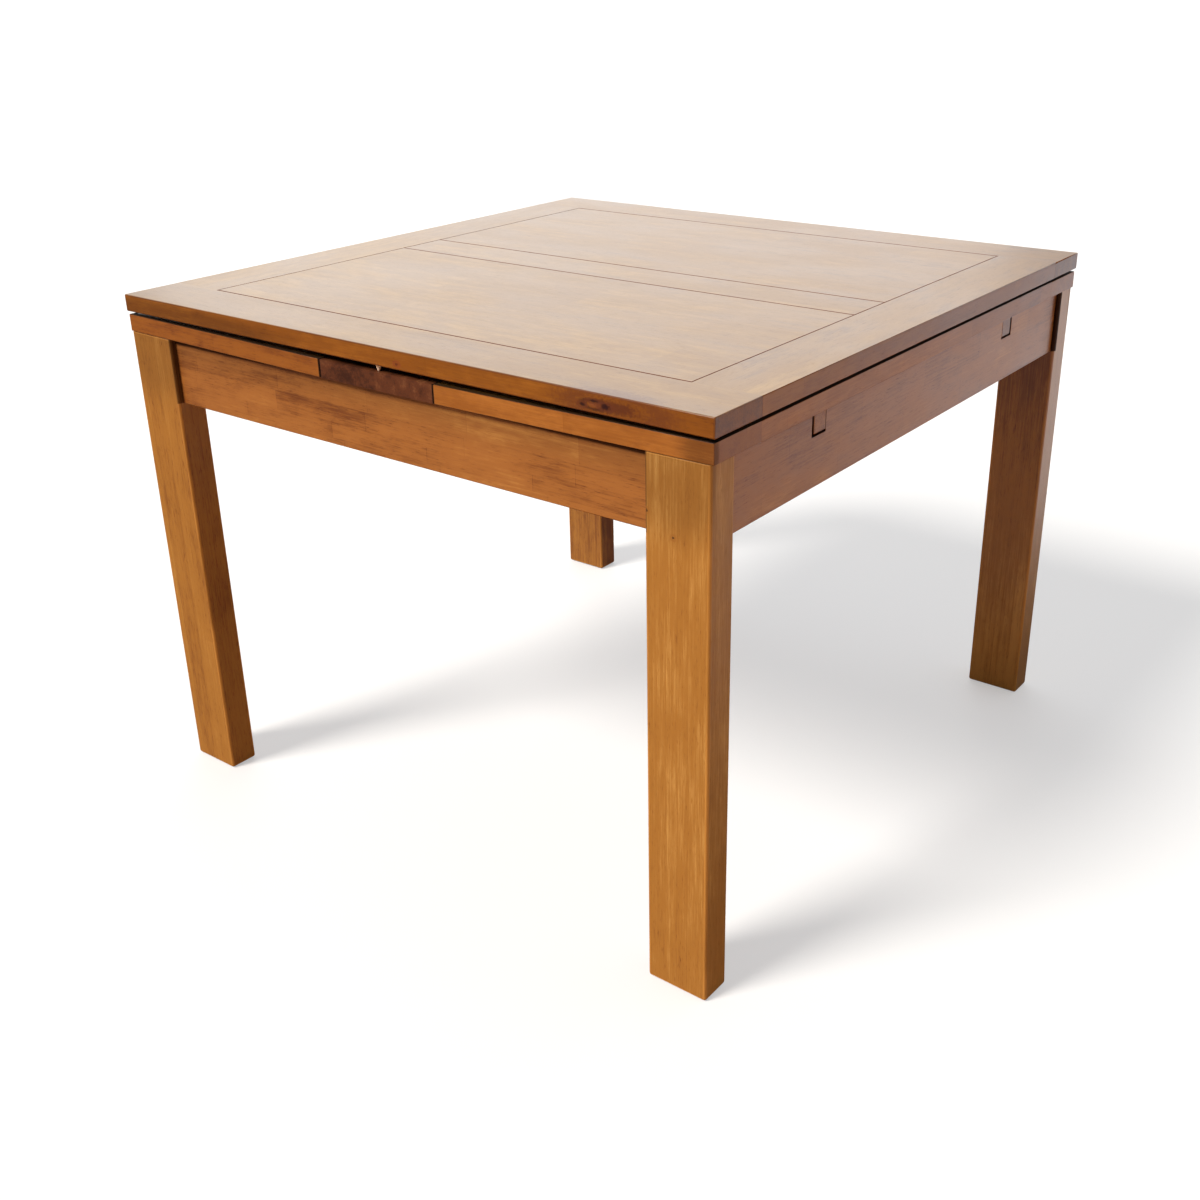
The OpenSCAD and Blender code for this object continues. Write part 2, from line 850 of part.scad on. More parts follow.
leaf_stile(-1, -1);  // leaf_left_stile_front
leaf_stile(-1, 1);  // leaf_left_stile_back
leaf_rail(-1, 1);  // leaf_left_rail_outer
leaf_rail(-1, -1);  // leaf_left_rail_inner
leaf_panel(-1);  // leaf_left_panel
loper(-1, -1);  // loper_left_front
loper(-1, 1);  // loper_left_back
loper_screws(-1);  // loper_left_screws
loper_stops(-1);  // loper_left_stops
top_stile(-1);  // top_stile_front
top_stile(1);  // top_stile_back
top_rail(-1);  // top_rail_left
top_rail(1);  // top_rail_right
top_mid_rail();
top_panel(-1);  // top_panel_front
top_panel(1);  // top_panel_back
top_pegs();
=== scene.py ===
import json
import math

import bmesh
import bpy
from mathutils import Matrix, Vector


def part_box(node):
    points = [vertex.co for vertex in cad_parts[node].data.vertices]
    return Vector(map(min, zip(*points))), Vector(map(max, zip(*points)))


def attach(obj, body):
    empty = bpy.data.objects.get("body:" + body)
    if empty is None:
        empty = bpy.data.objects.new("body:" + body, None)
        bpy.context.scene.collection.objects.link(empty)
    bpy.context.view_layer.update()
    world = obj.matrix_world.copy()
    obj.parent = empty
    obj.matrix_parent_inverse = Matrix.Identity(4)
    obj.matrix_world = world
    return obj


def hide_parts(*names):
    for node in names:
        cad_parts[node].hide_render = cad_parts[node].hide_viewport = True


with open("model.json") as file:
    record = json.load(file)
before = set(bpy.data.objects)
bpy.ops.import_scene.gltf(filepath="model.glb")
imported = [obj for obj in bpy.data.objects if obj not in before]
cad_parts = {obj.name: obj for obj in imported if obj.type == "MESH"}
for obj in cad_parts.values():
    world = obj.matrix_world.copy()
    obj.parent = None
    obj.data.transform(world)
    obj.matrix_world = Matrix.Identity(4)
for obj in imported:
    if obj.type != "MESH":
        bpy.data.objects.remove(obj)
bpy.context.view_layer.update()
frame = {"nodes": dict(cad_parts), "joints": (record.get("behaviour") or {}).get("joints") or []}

# Camera
# It stands near one corner of the table and looks slightly down on it. The lens and its
# shift give the same picture, of 1200 by 1200 pixels, as the table was photographed in.
picture_side = 1200
focal_length_px = 1374.6
lens_centre_px = (621.1, 560.5)
sensor_mm = 36
camera_place = Vector((1.2305, -1.6040, 1.1745))
camera_yaw = -0.65754
camera_pitch = 0.41351
camera_roll = -0.01652

ahead = Vector((
    math.sin(camera_yaw) * math.cos(camera_pitch),
    math.cos(camera_yaw) * math.cos(camera_pitch),
    -math.sin(camera_pitch),
))
level = Vector((math.cos(camera_yaw), -math.sin(camera_yaw), 0))
rightward = math.cos(camera_roll) * level + math.sin(camera_roll) * level.cross(ahead)
upward = rightward.cross(ahead)
camera_axes = Matrix((rightward, upward, -ahead)).transposed()

lens = bpy.data.cameras.new("table_camera")
lens.sensor_width = sensor_mm
lens.lens = focal_length_px / picture_side * sensor_mm
lens.shift_x = 0.5 - lens_centre_px[0] / picture_side
lens.shift_y = lens_centre_px[1] / picture_side - 0.5
camera = bpy.data.objects.new("table_camera", lens)
camera.matrix_world = Matrix.Translation(camera_place) @ camera_axes.to_4x4()
bpy.context.scene.collection.objects.link(camera)
bpy.context.scene.camera = camera

# Studio
# A pale floor runs out to a white backdrop, brightest on the left, and the room is dark
# towards the front. A wide soft lamp lights the front of the table. A broad panel behind it
# and the bright floor beyond its right end put the sheen on the lacquer.
floor_reach = 60
floor_roughness = 0.6
floor_colour = (0.48, 0.48, 0.48, 1)
floor_speck_colour = (0.50, 0.50, 0.50, 1)
floor_glow_colour = (0.42, 0.42, 0.42, 1)
floor_bounce_colour = (0.50, 0.29, 0.18, 1)
floor_mirror_colour = (0.80, 0.83, 0.90, 1)
floor_front_colour = (0.05, 0.05, 0.05, 1)
bright_floor_from = 0.70
bright_floor_to = 1.25
bright_floor_skew = 0.2
backdrop_colour = (0.64, 0.655, 0.685, 1)
left_backdrop_colour = (0.75, 0.78, 0.80, 1)
seen_backdrop_colour = (0.95, 0.95, 0.95, 1)
front_room_colour = (0.20, 0.165, 0.13, 1)
left_paler_from = -0.25
left_palest_at = -0.9
front_room_to = -0.5
backdrop_from = 0.3
lamp_direction = Vector((-0.30, -0.66, 0.70))
lamp_strength = 4.4
lamp_spread = math.radians(20)
lamp_colour = (1, 0.95, 0.88)
panel_place = Vector((-2.9, 3.5, 2.1))
panel_side = 4.2
panel_watts = 38
panel_colour = (1, 0.98, 0.96)
panel_aim = Vector((0, 0, 0.5))


def feed(node, feeds):
    """Gives each of a node's inputs, by name or number, its value or the socket that feeds it."""
    for key, value in feeds.items():
        if isinstance(value, bpy.types.NodeSocket):
            node.id_data.links.new(value, node.inputs[key])
        else:
            node.inputs[key].default_value = value


def put_node(tree, kind, feeds=None, **settings):
    """Adds a node with its settings and what feeds it."""
    made = tree.nodes.new(kind)
    for name, value in settings.items():
        setattr(made, name, value)
    feed(made, feeds or {})
    return made


def blend_colours(tree, share, first, second, how="MIX"):
    return put_node(
        tree, "ShaderNodeMix", {0: share, 6: first, 7: second}, data_type="RGBA", blend_type=how
    ).outputs[2]


def reckon(tree, operation, a, b=0.0, c=0.0):
    """One sum on numbers that change over the surface."""
    return put_node(tree, "ShaderNodeMath", {0: a, 1: b, 2: c}, operation=operation).outputs[0]


def step_over(tree, value, low, high, out_low=0.0, out_high=1.0, kind="SMOOTHSTEP"):
    """Goes from out_low to out_high as the value goes from low to high."""
    return put_node(
        tree, "ShaderNodeMapRange",
        {"Value": value, "From Min": low, "From Max": high, "To Min": out_low, "To Max": out_high},
        interpolation_type=kind,
    ).outputs[0]


def noise(tree, vector=None, scale=1.0, detail=2.0, roughness=0.5):
    """A noise from 0 to 1, over the vector or else over the whole object."""
    made = put_node(
        tree, "ShaderNodeTexNoise", {"Scale": scale, "Detail": detail, "Roughness": roughness}
    )
    if vector is not None:
        feed(made, {"Vector": vector})
    return made.outputs["Fac"]


def split(tree, vector):
    """The three numbers of a vector."""
    return put_node(tree, "ShaderNodeSeparateXYZ", {0: vector}).outputs


def place_in(tree, kind="Object"):
    """The place of a point of the surface in its object's own axes, or another fact of it."""
    return put_node(tree, "ShaderNodeTexCoord").outputs[kind]


def new_finish(name):
    """An empty material, its nodes and its Principled shader."""
    finish = bpy.data.materials.new(name)
    finish.use_nodes = True
    return finish, finish.node_tree, finish.node_tree.nodes["Principled BSDF"]


def put_lamp(name, kind, strength, colour, way, place=(0, 0, 0), **settings):
    """A lamp at a place that shines along a way."""
    lamp = bpy.data.lights.new(name, kind)
    lamp.energy = strength
    lamp.color = colour
    for key, value in settings.items():
        setattr(lamp, key, value)
    holder = bpy.data.objects.new(name, lamp)
    holder.location = place
    holder.rotation_euler = way.to_track_quat("-Z", "Y").to_euler()
    bpy.context.scene.collection.objects.link(holder)


floor_mesh = bpy.data.meshes.new("floor")
floor_corners = [(x * floor_reach, y * floor_reach, 0) for x, y in ((-1, -1), (1, -1), (1, 1), (-1, 1))]
floor_mesh.from_pydata(floor_corners, [], [(0, 1, 2, 3)])
floor = bpy.data.objects.new("floor", floor_mesh)
bpy.context.scene.collection.objects.link(floor)
floor_finish, floor_tree, floor_shader = new_finish("pale_floor")
floor_ray = put_node(floor_tree, "ShaderNodeLightPath").outputs
floor_place = split(floor_tree, place_in(floor_tree))
floor_way = reckon(floor_tree, "MULTIPLY_ADD", floor_place[1], bright_floor_skew, floor_place[0])
floor_beyond = step_over(floor_tree, floor_way, bright_floor_from, bright_floor_to, kind="LINEAR")
floor_speck = noise(floor_tree, scale=3.0, detail=3.0)
floor_tone = blend_colours(floor_tree, floor_speck, floor_colour, floor_speck_colour)
floor_mirrored = blend_colours(floor_tree, floor_beyond, floor_front_colour, floor_mirror_colour)
floor_unseen = blend_colours(floor_tree, floor_ray["Is Glossy Ray"], floor_bounce_colour, floor_mirrored)
feed(floor_shader, {
    "Base Color": blend_colours(floor_tree, floor_ray["Is Camera Ray"], floor_unseen, floor_tone),
    "Emission Color": blend_colours(
        floor_tree, floor_ray["Is Camera Ray"], (0, 0, 0, 1), floor_glow_colour
    ),
    "Emission Strength": 1,
    "Roughness": floor_roughness,
})
floor_mesh.materials.append(floor_finish)

room = bpy.data.worlds.new("white_room")
room.use_nodes = True
room_tree = room.node_tree
room_way = split(room_tree, place_in(room_tree, "Generated"))
room_left = step_over(room_tree, room_way[0], left_paler_from, left_palest_at)
room_back = step_over(room_tree, room_way[1], front_room_to, backdrop_from)
room_behind = blend_colours(room_tree, room_left, backdrop_colour, left_backdrop_colour)
room_round = blend_colours(room_tree, room_back, front_room_colour, room_behind)
room_seen = put_node(room_tree, "ShaderNodeLightPath").outputs["Is Camera Ray"]
room_colour = blend_colours(room_tree, room_seen, room_round, seen_backdrop_colour)
feed(room_tree.nodes["Background"], {"Color": room_colour})
bpy.context.scene.world = room
bpy.context.scene.view_settings.view_transform = "Standard"

put_lamp("front_lamp", "SUN", lamp_strength, lamp_colour, -lamp_direction, angle=lamp_spread)
put_lamp(
    "back_panel", "AREA", panel_watts, panel_colour, panel_aim - panel_place, panel_place,
    shape="SQUARE", size=panel_side,
)

# Legs
# Four rectangular legs of rubberwood, each glued up from upright strips and stained honey
# brown under a satin lacquer. Their arrises are rounded by sanding, and two small pin
# knots show on the front right one.
leg_round = 0.0035
leg_strip = 0.0215
leg_strip_length = 4.0
leg_top_share = 0.3
knot_depth = 0.02
leg_knots = [
    # middle, half size
    ((0.4135, -0.499, 0.630), (0.0032, knot_depth, 0.0036)),
    ((0.4480, -0.499, 0.606), (0.0034, knot_depth, 0.0036)),
]
pin_knot_heart = (66, 32, 16)
pin_knot_ring = (144, 92, 38)
leg_tones_and_painted_light = {
    # leg: how much paler it is half way up, partly its stain and partly painted light, how much
    # its top is darker than its foot, as painted shade, and how much paler its outer end face is,
    # as painted light
    "front_left": (-0.03, 0.0, -0.03),
    "front_right": (0.06, -0.12, 0.11),
    "back_left": (-0.3, 0.2, -0.3),
    "back_right": (0.03, 1.0, 0.10),
}
near = 0.0002
close = 0.001


def shade(red, green, blue):
    """A colour given in screen values from 0 to 255, as the shaders take it."""
    def straight(value):
        value /= 255
        return value / 12.92 if value <= 0.04045 else ((value + 0.055) / 1.055) ** 2.4
    return (straight(red), straight(green), straight(blue), 1)


def box_skin(xs, ys, zs):
    """The outside of a box, with its faces divided at the places given along each side."""
    skin = bmesh.new()
    corners = {}
    sides = (xs, ys, zs)

    def corner(place):
        key = tuple(round(number, 6) for number in place)
        if key not in corners:
            corners[key] = skin.verts.new(key)
        return corners[key]

    for across in range(3):
        a_axis, b_axis = (across + 1) % 3, (across + 2) % 3
        for end in (0, -1):
            for a0, a1 in zip(sides[a_axis], sides[a_axis][1:]):
                for b0, b1 in zip(sides[b_axis], sides[b_axis][1:]):
                    ring = []
                    for a, b in ((a0, b0), (a1, b0), (a1, b1), (a0, b1)):
                        place = [0, 0, 0]
                        place[across], place[a_axis], place[b_axis] = sides[across][end], a, b
                        ring.append(place)
                    if end == 0:
                        ring.reverse()
                    skin.faces.new([corner(place) for place in ring])
    return skin


def wall(skin, under, over):
    """The faces between two rings of points, either of which may be a single point."""
    sides = max(len(under), len(over))
    for i in range(sides):
        j = (i + 1) % sides
        ring = [under[i % len(under)], under[j % len(under)], over[j % len(over)], over[i % len(over)]]
        skin.faces.new(list(dict.fromkeys(ring)))


def sawn_prism(outline, axis, low, high):
    """An outline drawn across an axis (0, 1 or 2) and run along it from low to high."""
    skin = bmesh.new()
    first, last = [
        [skin.verts.new([(place, a, b), (b, place, a), (a, b, place)][axis]) for a, b in outline]
        for place in (low, high)
    ]
    skin.faces.new(first[::-1])
    skin.faces.new(last)
    wall(skin, first, last)
    bmesh.ops.recalc_face_normals(skin, faces=skin.faces)
    return skin


def stand(name, skin, place=Matrix.Identity(4)):
    """An object made from a skin, at its place."""
    mesh = bpy.data.meshes.new(name)
    skin.to_mesh(mesh)
    skin.free()
    mesh.transform(place)
    piece = bpy.data.objects.new(name, mesh)
    bpy.context.scene.collection.objects.link(piece)
    return piece


def smooth(mesh):
    mesh.polygons.foreach_set("use_smooth", [True] * len(mesh.polygons))


def planed(name, skin, grain, board, round_by, soften=None, seams=(), in_hollow=None, tone=0.0,
           place=Matrix.Identity(4)):
    """Rounds a board's arrises and writes on it where its grain runs.

    soften(middle) says how much of round_by an edge takes, from 0 to 1. seams lists the
    sides, as (axis, sign), whose upper arris is a V cut, and in_hollow(middle, normal)
    picks the faces of a notch, which are marked with the cuts and painted dark as shade.
    The mesh gets "grain", the place inside the board with X along the grain, "board", the
    board's number, "tone", how much paler it took the stain than the others, with painted
    light on some pieces, or a rule for it, and "faces", which marks end grain, arrises, and
    the dark V cuts together with the notch walls painted dark as shade.
    """
    flat_angle = 0.01
    leaning = 0.985
    same_way = 0.99
    end_grain_from = 0.75
    long_arris_below = 0.3
    seam_reach = 0.0016
    low = Vector([min(v.co[i] for v in skin.verts) for i in range(3)])
    high = Vector([max(v.co[i] for v in skin.verts) for i in range(3)])
    size = high - low
    across = sorted((i for i in range(3) if i != grain), key=lambda i: -size[i])
    weights = skin.edges.layers.float.new("bevel_weight_edge")
    skin.normal_update()
    for edge in skin.edges:
        middle = (edge.verts[0].co + edge.verts[1].co) / 2
        flat = edge.calc_face_angle(0) < flat_angle
        edge[weights] = 0 if flat else (soften(middle) if soften else 1)
    piece = stand(name, skin)
    rough = piece.data
    smooth(rough)
    rounding = piece.modifiers.new("rounding", "BEVEL")
    rounding.width = round_by
    rounding.segments = 3
    rounding.limit_method = "WEIGHT"
    sight = bpy.context.evaluated_depsgraph_get()
    mesh = bpy.data.meshes.new_from_object(piece.evaluated_get(sight))
    piece.modifiers.clear()
    piece.data = mesh
    bpy.data.meshes.remove(rough)
    mesh.name = name

    along = mesh.attributes.new("grain", "FLOAT_VECTOR", "POINT")
    for vertex in mesh.vertices:
        p = vertex.co - low
        along.data[vertex.index].vector = (p[grain], p[across[0]], p[across[1]])
    tones = [tone(vertex.co) if callable(tone) else tone for vertex in mesh.vertices]
    for label, values in (("board", [float(board)] * len(mesh.vertices)), ("tone", tones)):
        mesh.attributes.new(label, "FLOAT", "POINT").data.foreach_set("value", values)
    marks = mesh.attributes.new("faces", "FLOAT_VECTOR", "CORNER")
    leans = [max(abs(n) for n in polygon.normal) < leaning for polygon in mesh.polygons]
    flat_beside = [[] for _ in mesh.vertices]
    lean_beside = [Vector() for _ in mesh.vertices]
    for polygon, lean in zip(mesh.polygons, leans):
        for index in polygon.vertices:
            if lean:
                lean_beside[index] += polygon.normal
            elif all(polygon.normal.dot(other) < same_way for other in flat_beside[index]):
                flat_beside[index].append(polygon.normal.copy())
    normals = [None] * len(mesh.loops)
    for polygon, lean in zip(mesh.polygons, leans):
        end = 1.0 if abs(polygon.normal[grain]) > end_grain_from else 0.0
        arris_wear_and_highlight_face = 1.0 if lean and abs(polygon.normal[grain]) < long_arris_below else 0.0
        centre = polygon.center
        seam_and_shade = 1.0 if in_hollow and in_hollow(centre, polygon.normal) else 0.0
        if lean and centre.z > high.z - seam_reach:
            for i, side in seams:
                if abs(centre[i] - (high if side > 0 else low)[i]) < seam_reach:
                    seam_and_shade = 1.0
        for corner, index in zip(polygon.loop_indices, polygon.vertices):
            marks.data[corner].vector = (end, arris_wear_and_highlight_face * (1 - seam_and_shade), seam_and_shade)
            normals[corner] = polygon.normal.copy()
            if lean and len(flat_beside[index]) == 1:
                normals[corner] = flat_beside[index][0]
            elif lean and not flat_beside[index]:
                normals[corner] = lean_beside[index].normalized()
    mesh.normals_split_custom_set(normals)
    mesh.transform(place)
    return piece


def effect(name, inputs, outputs):
    """A shader node group, as its nodes, the sockets that come in and its last node."""
    tree = bpy.data.node_groups.new(name, "ShaderNodeTree")
    for label, kind, value in inputs:
        socket = tree.interface.new_socket(label, in_out="INPUT", socket_type="NodeSocket" + kind)
        if value is not None:
            socket.default_value = value
    for label, kind in outputs:
        tree.interface.new_socket(label, in_out="OUTPUT", socket_type="NodeSocket" + kind)
    return tree, tree.nodes.new("NodeGroupInput").outputs, tree.nodes.new("NodeGroupOutput")


def place_effect(tree, effect_tree, feeds):
    return put_node(tree, "ShaderNodeGroup", feeds, node_tree=effect_tree).outputs


def reckon_vector(tree, operation, a, b=(0, 0, 0)):
    """One sum on vectors that change over the surface."""
    return put_node(tree, "ShaderNodeVectorMath", {0: a, 1: b}, operation=operation).outputs[0]


def length_of(tree, vector):
    return put_node(tree, "ShaderNodeVectorMath", {0: vector}, operation="LENGTH").outputs["Value"]


# The grain of rubberwood: long streaks, short dark pores and the cloudy take of the stain
next_board_along = 3.17
next_board_across = 0.73
drift_stretch = (2.2, 9.0, 9.0)
grain_tree, grain_in, grain_out = effect(
    "wood_grain",
    [("Grain", "Vector", None), ("Board", "Float", 0.0), ("Wander", "Float", 0.004)],
    [(label, "Float") for label in ("Streaks", "Fibres", "Pores", "Clouds", "Blotches")],
)
board_shift = put_node(grain_tree, "ShaderNodeCombineXYZ", {
    0: reckon(grain_tree, "MULTIPLY", grain_in["Board"], next_board_along),
    2: reckon(grain_tree, "MULTIPLY", grain_in["Board"], next_board_across),
})
in_tree = reckon_vector(grain_tree, "ADD", grain_in["Grain"], board_shift.outputs[0])
drift = put_node(
    grain_tree, "ShaderNodeTexNoise",
    {"Vector": reckon_vector(grain_tree, "MULTIPLY", in_tree, drift_stretch),
     "Scale": 1.0, "Detail": 1.0},
)
drift_way = reckon_vector(grain_tree, "SUBTRACT", drift.outputs["Color"], (0.5, 0.5, 0.5))
drift_size = put_node(
    grain_tree, "ShaderNodeVectorMath", {0: drift_way, 3: grain_in["Wander"]}, operation="SCALE"
)
wandering = reckon_vector(grain_tree, "ADD", in_tree, drift_size.outputs[0])
for label, source, along, across, detail, roughness, low, high in (
    # what it is, where it runs, how fine it is along and across the grain, the noise's
    # detail and roughness, and the values between which it shows
    ("Streaks", wandering, 3.0, 85.0, 3.0, 0.6, 0.33, 0.67),
    ("Fibres", wandering, 16.0, 420.0, 2.0, 0.6, 0.3, 0.7),
    ("Pores", wandering, 85.0, 1150.0, 1.0, 0.5, 0.6, 0.72),
    ("Clouds", in_tree, 5.0, 11.0, 2.5, 0.55, 0.32, 0.68),
    ("Blotches", wandering, 26.0, 62.0, 3.5, 0.62, 0.3, 0.7),
):
    run_out = reckon_vector(grain_tree, "MULTIPLY", source, (along, across, across))
    speckle = noise(grain_tree, run_out, detail=detail, roughness=roughness)
    feed(grain_out, {label: step_over(grain_tree, speckle, low, high)})

# Glued staves: rows of uneven width, cut into blocks that differ a little in tone
joint_line = 0.0009
row_sway = 0.3
row_turn = 2.3
board_turn = 1.7
block_shift = 7.0
row_joint_share = 0.5
stave_tree, stave_in, stave_out = effect(
    "glued_staves",
    [("Grain", "Vector", None), ("Board", "Float", 0.0), ("Stave Width", "Float", 0.045),
     ("Block Length", "Float", 0.3)],
    [("Tone", "Float"), ("Joint", "Float")],
)


def seed(*numbers):
    """A number from 0 to 1 that is the same wherever the numbers are the same."""
    together = put_node(stave_tree, "ShaderNodeCombineXYZ", dict(enumerate(numbers)))
    return put_node(
        stave_tree, "ShaderNodeTexWhiteNoise", {"Vector": together.outputs[0]}, noise_dimensions="3D"
    ).outputs["Value"]


def near_joint(place, length):
    """1 within a line's width of where one stave or block meets the next."""
    part = reckon(stave_tree, "FRACT", place)
    edge = reckon(stave_tree, "MINIMUM", part, reckon(stave_tree, "SUBTRACT", 1.0, part))
    away = reckon(stave_tree, "MULTIPLY", edge, length)
    return step_over(stave_tree, away, 0.0, joint_line, 1.0, 0.0)


stave_place = split(stave_tree, stave_in["Grain"])
even_row = reckon(stave_tree, "DIVIDE", stave_place[1], stave_in["Stave Width"])
sway_start = reckon(stave_tree, "MULTIPLY", stave_in["Board"], board_turn)
sway = reckon(stave_tree, "SINE", reckon(stave_tree, "MULTIPLY_ADD", even_row, row_turn, sway_start))
row_place = reckon(stave_tree, "MULTIPLY_ADD", sway, row_sway, even_row)
row = reckon(stave_tree, "FLOOR", row_place)
even_block = reckon(stave_tree, "DIVIDE", stave_place[0], stave_in["Block Length"])
row_start = seed(row, stave_in["Board"])
block_place = reckon(stave_tree, "MULTIPLY_ADD", row_start, block_shift, even_block)
block = reckon(stave_tree, "FLOOR", block_place)
row_joint = near_joint(row_place, stave_in["Stave Width"])
block_joint = near_joint(block_place, stave_in["Block Length"])
feed(stave_out, {
    "Tone": seed(row, block, stave_in["Board"]),
    "Joint": reckon(
        stave_tree, "MAXIMUM", reckon(stave_tree, "MULTIPLY", row_joint, row_joint_share), block_joint
    ),
})

# Stained wood: grain and staves together, darker on end grain and in the seams, with painted
# shade in the notches, and arrises darker with wear except where a pale arris colour paints a highlight
fibre_change = 0.18
joint_darkening = 0.16
pore_darkening = 0.22
end_grain_darkening = 0.2
seam_cover = 0.92
gloss_change = 0.1
pore_dulling = 0.15
fibre_height = 0.35
pore_depth = 0.8
joint_depth = 0.5
wood_tree, wood_in, wood_out = effect(
    "stained_wood",
    [("Grain", "Vector", None), ("Board", "Float", 0.0), ("Tone", "Float", 0.0),
     ("Faces", "Vector", None), ("Stave Width", "Float", 0.045), ("Block Length", "Float", 0.3),
     ("Wander", "Float", 0.004), ("Dark", "Color", None), ("Middle", "Color", None),
     ("Pale", "Color", None), ("Seam", "Color", None), ("Arris Wear And Highlight", "Color", None),
     ("Stave Change", "Float", 0.3), ("Streak Change", "Float", 0.15),
     ("Cloud Change", "Float", 0.25), ("Blotch Change", "Float", 0.3), ("Gloss", "Float", 0.4)],
    [("Colour", "Color"), ("Roughness", "Float"), ("Height", "Float")],
)
wood_grain = place_effect(
    wood_tree, grain_tree, {key: wood_in[key] for key in ("Grain", "Board", "Wander")}
)
wood_staves = place_effect(
    wood_tree, stave_tree,
    {key: wood_in[key] for key in ("Grain", "Board", "Stave Width", "Block Length")},
)
end_grain, arris_wear_and_highlight_mark, seam_and_notch_shade = split(wood_tree, wood_in["Faces"])


def swing(source, amount):
    """A mask turned into a push up or down of at most half the amount."""
    return reckon(wood_tree, "MULTIPLY", reckon(wood_tree, "SUBTRACT", source, 0.5), amount)


def lessen(value, shade_mask, amount):
    """A value that falls by up to the amount under a mask."""
    return reckon(wood_tree, "SUBTRACT", value, reckon(wood_tree, "MULTIPLY", shade_mask, amount))


lightness = reckon(wood_tree, "ADD", 0.5, wood_in["Tone"])
for source, amount in (
    (wood_staves["Tone"], wood_in["Stave Change"]),
    (wood_grain["Streaks"], wood_in["Streak Change"]),
    (wood_grain["Clouds"], wood_in["Cloud Change"]),
    (wood_grain["Blotches"], wood_in["Blotch Change"]),
    (wood_grain["Fibres"], fibre_change),
):
    lightness = reckon(wood_tree, "ADD", lightness, swing(source, amount))
lightness = lessen(lightness, wood_staves["Joint"], joint_darkening)
lightness = lessen(lightness, wood_grain["Pores"], pore_darkening)
lightness = lessen(lightness, end_grain, end_grain_darkening)
wood_colour = blend_colours(
    wood_tree, step_over(wood_tree, lightness, 0.0, 0.5), wood_in["Dark"], wood_in["Middle"]
)
wood_colour = blend_colours(
    wood_tree, step_over(wood_tree, lightness, 0.5, 1.0), wood_colour, wood_in["Pale"]
)
# Arrises take the arris colour: darker where they are worn, and paler where that colour paints a
# highlight, as on the legs.
arris_wear_and_highlight_mask = reckon(
    wood_tree, "MULTIPLY", arris_wear_and_highlight_mark, step_over(wood_tree, wood_grain["Clouds"], 0.2, 0.8, 0.3, 0.8)
)
wood_colour = blend_colours(wood_tree, arris_wear_and_highlight_mask, wood_colour, wood_in["Arris Wear And Highlight"])
# Seams and notch walls take the seam colour: dark V cuts, and painted shade in the notches.
seam_and_shade_cover = reckon(wood_tree, "MULTIPLY", seam_and_notch_shade, seam_cover)
wood_gloss = reckon(wood_tree, "ADD", wood_in["Gloss"], swing(wood_grain["Clouds"], gloss_change))
raised = reckon(wood_tree, "MULTIPLY", wood_grain["Fibres"], fibre_height)
feed(wood_out, {
    "Colour": blend_colours(wood_tree, seam_and_shade_cover, wood_colour, wood_in["Seam"]),
    "Roughness": lessen(wood_gloss, wood_grain["Pores"], -pore_dulling),
    "Height": lessen(
        lessen(raised, wood_grain["Pores"], pore_depth), wood_staves["Joint"], joint_depth
    ),
})

# A knot: a dark heart and a ring round it, in an oval on the surface
knot_ripples = 260.0
knot_ripple_depth = 0.9
knot_tree, knot_in, knot_out = effect(
    "wood_knot",
    [("Place", "Vector", None), ("Middle", "Vector", None), ("Half Size", "Vector", None)],
    [("Heart", "Float"), ("Ring", "Float")],
)
knot_away = reckon_vector(knot_tree, "SUBTRACT", knot_in["Place"], knot_in["Middle"])
knot_reach = reckon_vector(knot_tree, "DIVIDE", knot_away, knot_in["Half Size"])
knot_ripple = reckon(
    knot_tree, "SUBTRACT", noise(knot_tree, knot_in["Place"], scale=knot_ripples), 0.5
)
knot_from_heart = reckon(
    knot_tree, "MULTIPLY_ADD", knot_ripple, knot_ripple_depth, length_of(knot_tree, knot_reach)
)
ring_rise = step_over(knot_tree, knot_from_heart, 0.55, 0.9)
ring_fall = step_over(knot_tree, knot_from_heart, 0.95, 1.6, 1.0, 0.0)
feed(knot_out, {
    "Heart": step_over(knot_tree, knot_from_heart, 0.25, 0.75, 1.0, 0.0),
    "Ring": reckon(knot_tree, "MULTIPLY", ring_rise, ring_fall),
})

# Painted shade in a box or an oval, mostly in gaps, in corners where parts meet and under overhangs
shade_patch_tree, shade_patch_in, shade_patch_out = effect(
    "painted_shade_patch",
    [("Place", "Vector", None), ("Middle", "Vector", None), ("Half Size", "Vector", None),
     ("Fade", "Float", 0.002)],
    [("Box", "Float"), ("Oval", "Float")],
)
pool_away = reckon_vector(
    shade_patch_tree, "ABSOLUTE", reckon_vector(shade_patch_tree, "SUBTRACT", shade_patch_in["Place"], shade_patch_in["Middle"])
)
past_x, past_y, past_z = split(
    shade_patch_tree, reckon_vector(shade_patch_tree, "SUBTRACT", pool_away, shade_patch_in["Half Size"])
)
pool_edge = reckon(
    shade_patch_tree, "MAXIMUM", reckon(shade_patch_tree, "MAXIMUM", past_x, past_y), past_z
)
pool_faded = reckon(shade_patch_tree, "DIVIDE", pool_edge, shade_patch_in["Fade"])
pool_reach = length_of(
    shade_patch_tree, reckon_vector(shade_patch_tree, "DIVIDE", pool_away, shade_patch_in["Half Size"])
)
feed(shade_patch_out, {
    "Box": step_over(shade_patch_tree, pool_faded, 0.0, 1.0, 1.0, 0.0),
    "Oval": step_over(shade_patch_tree, pool_reach, 0.5, 1.0, 1.0, 0.0),
})


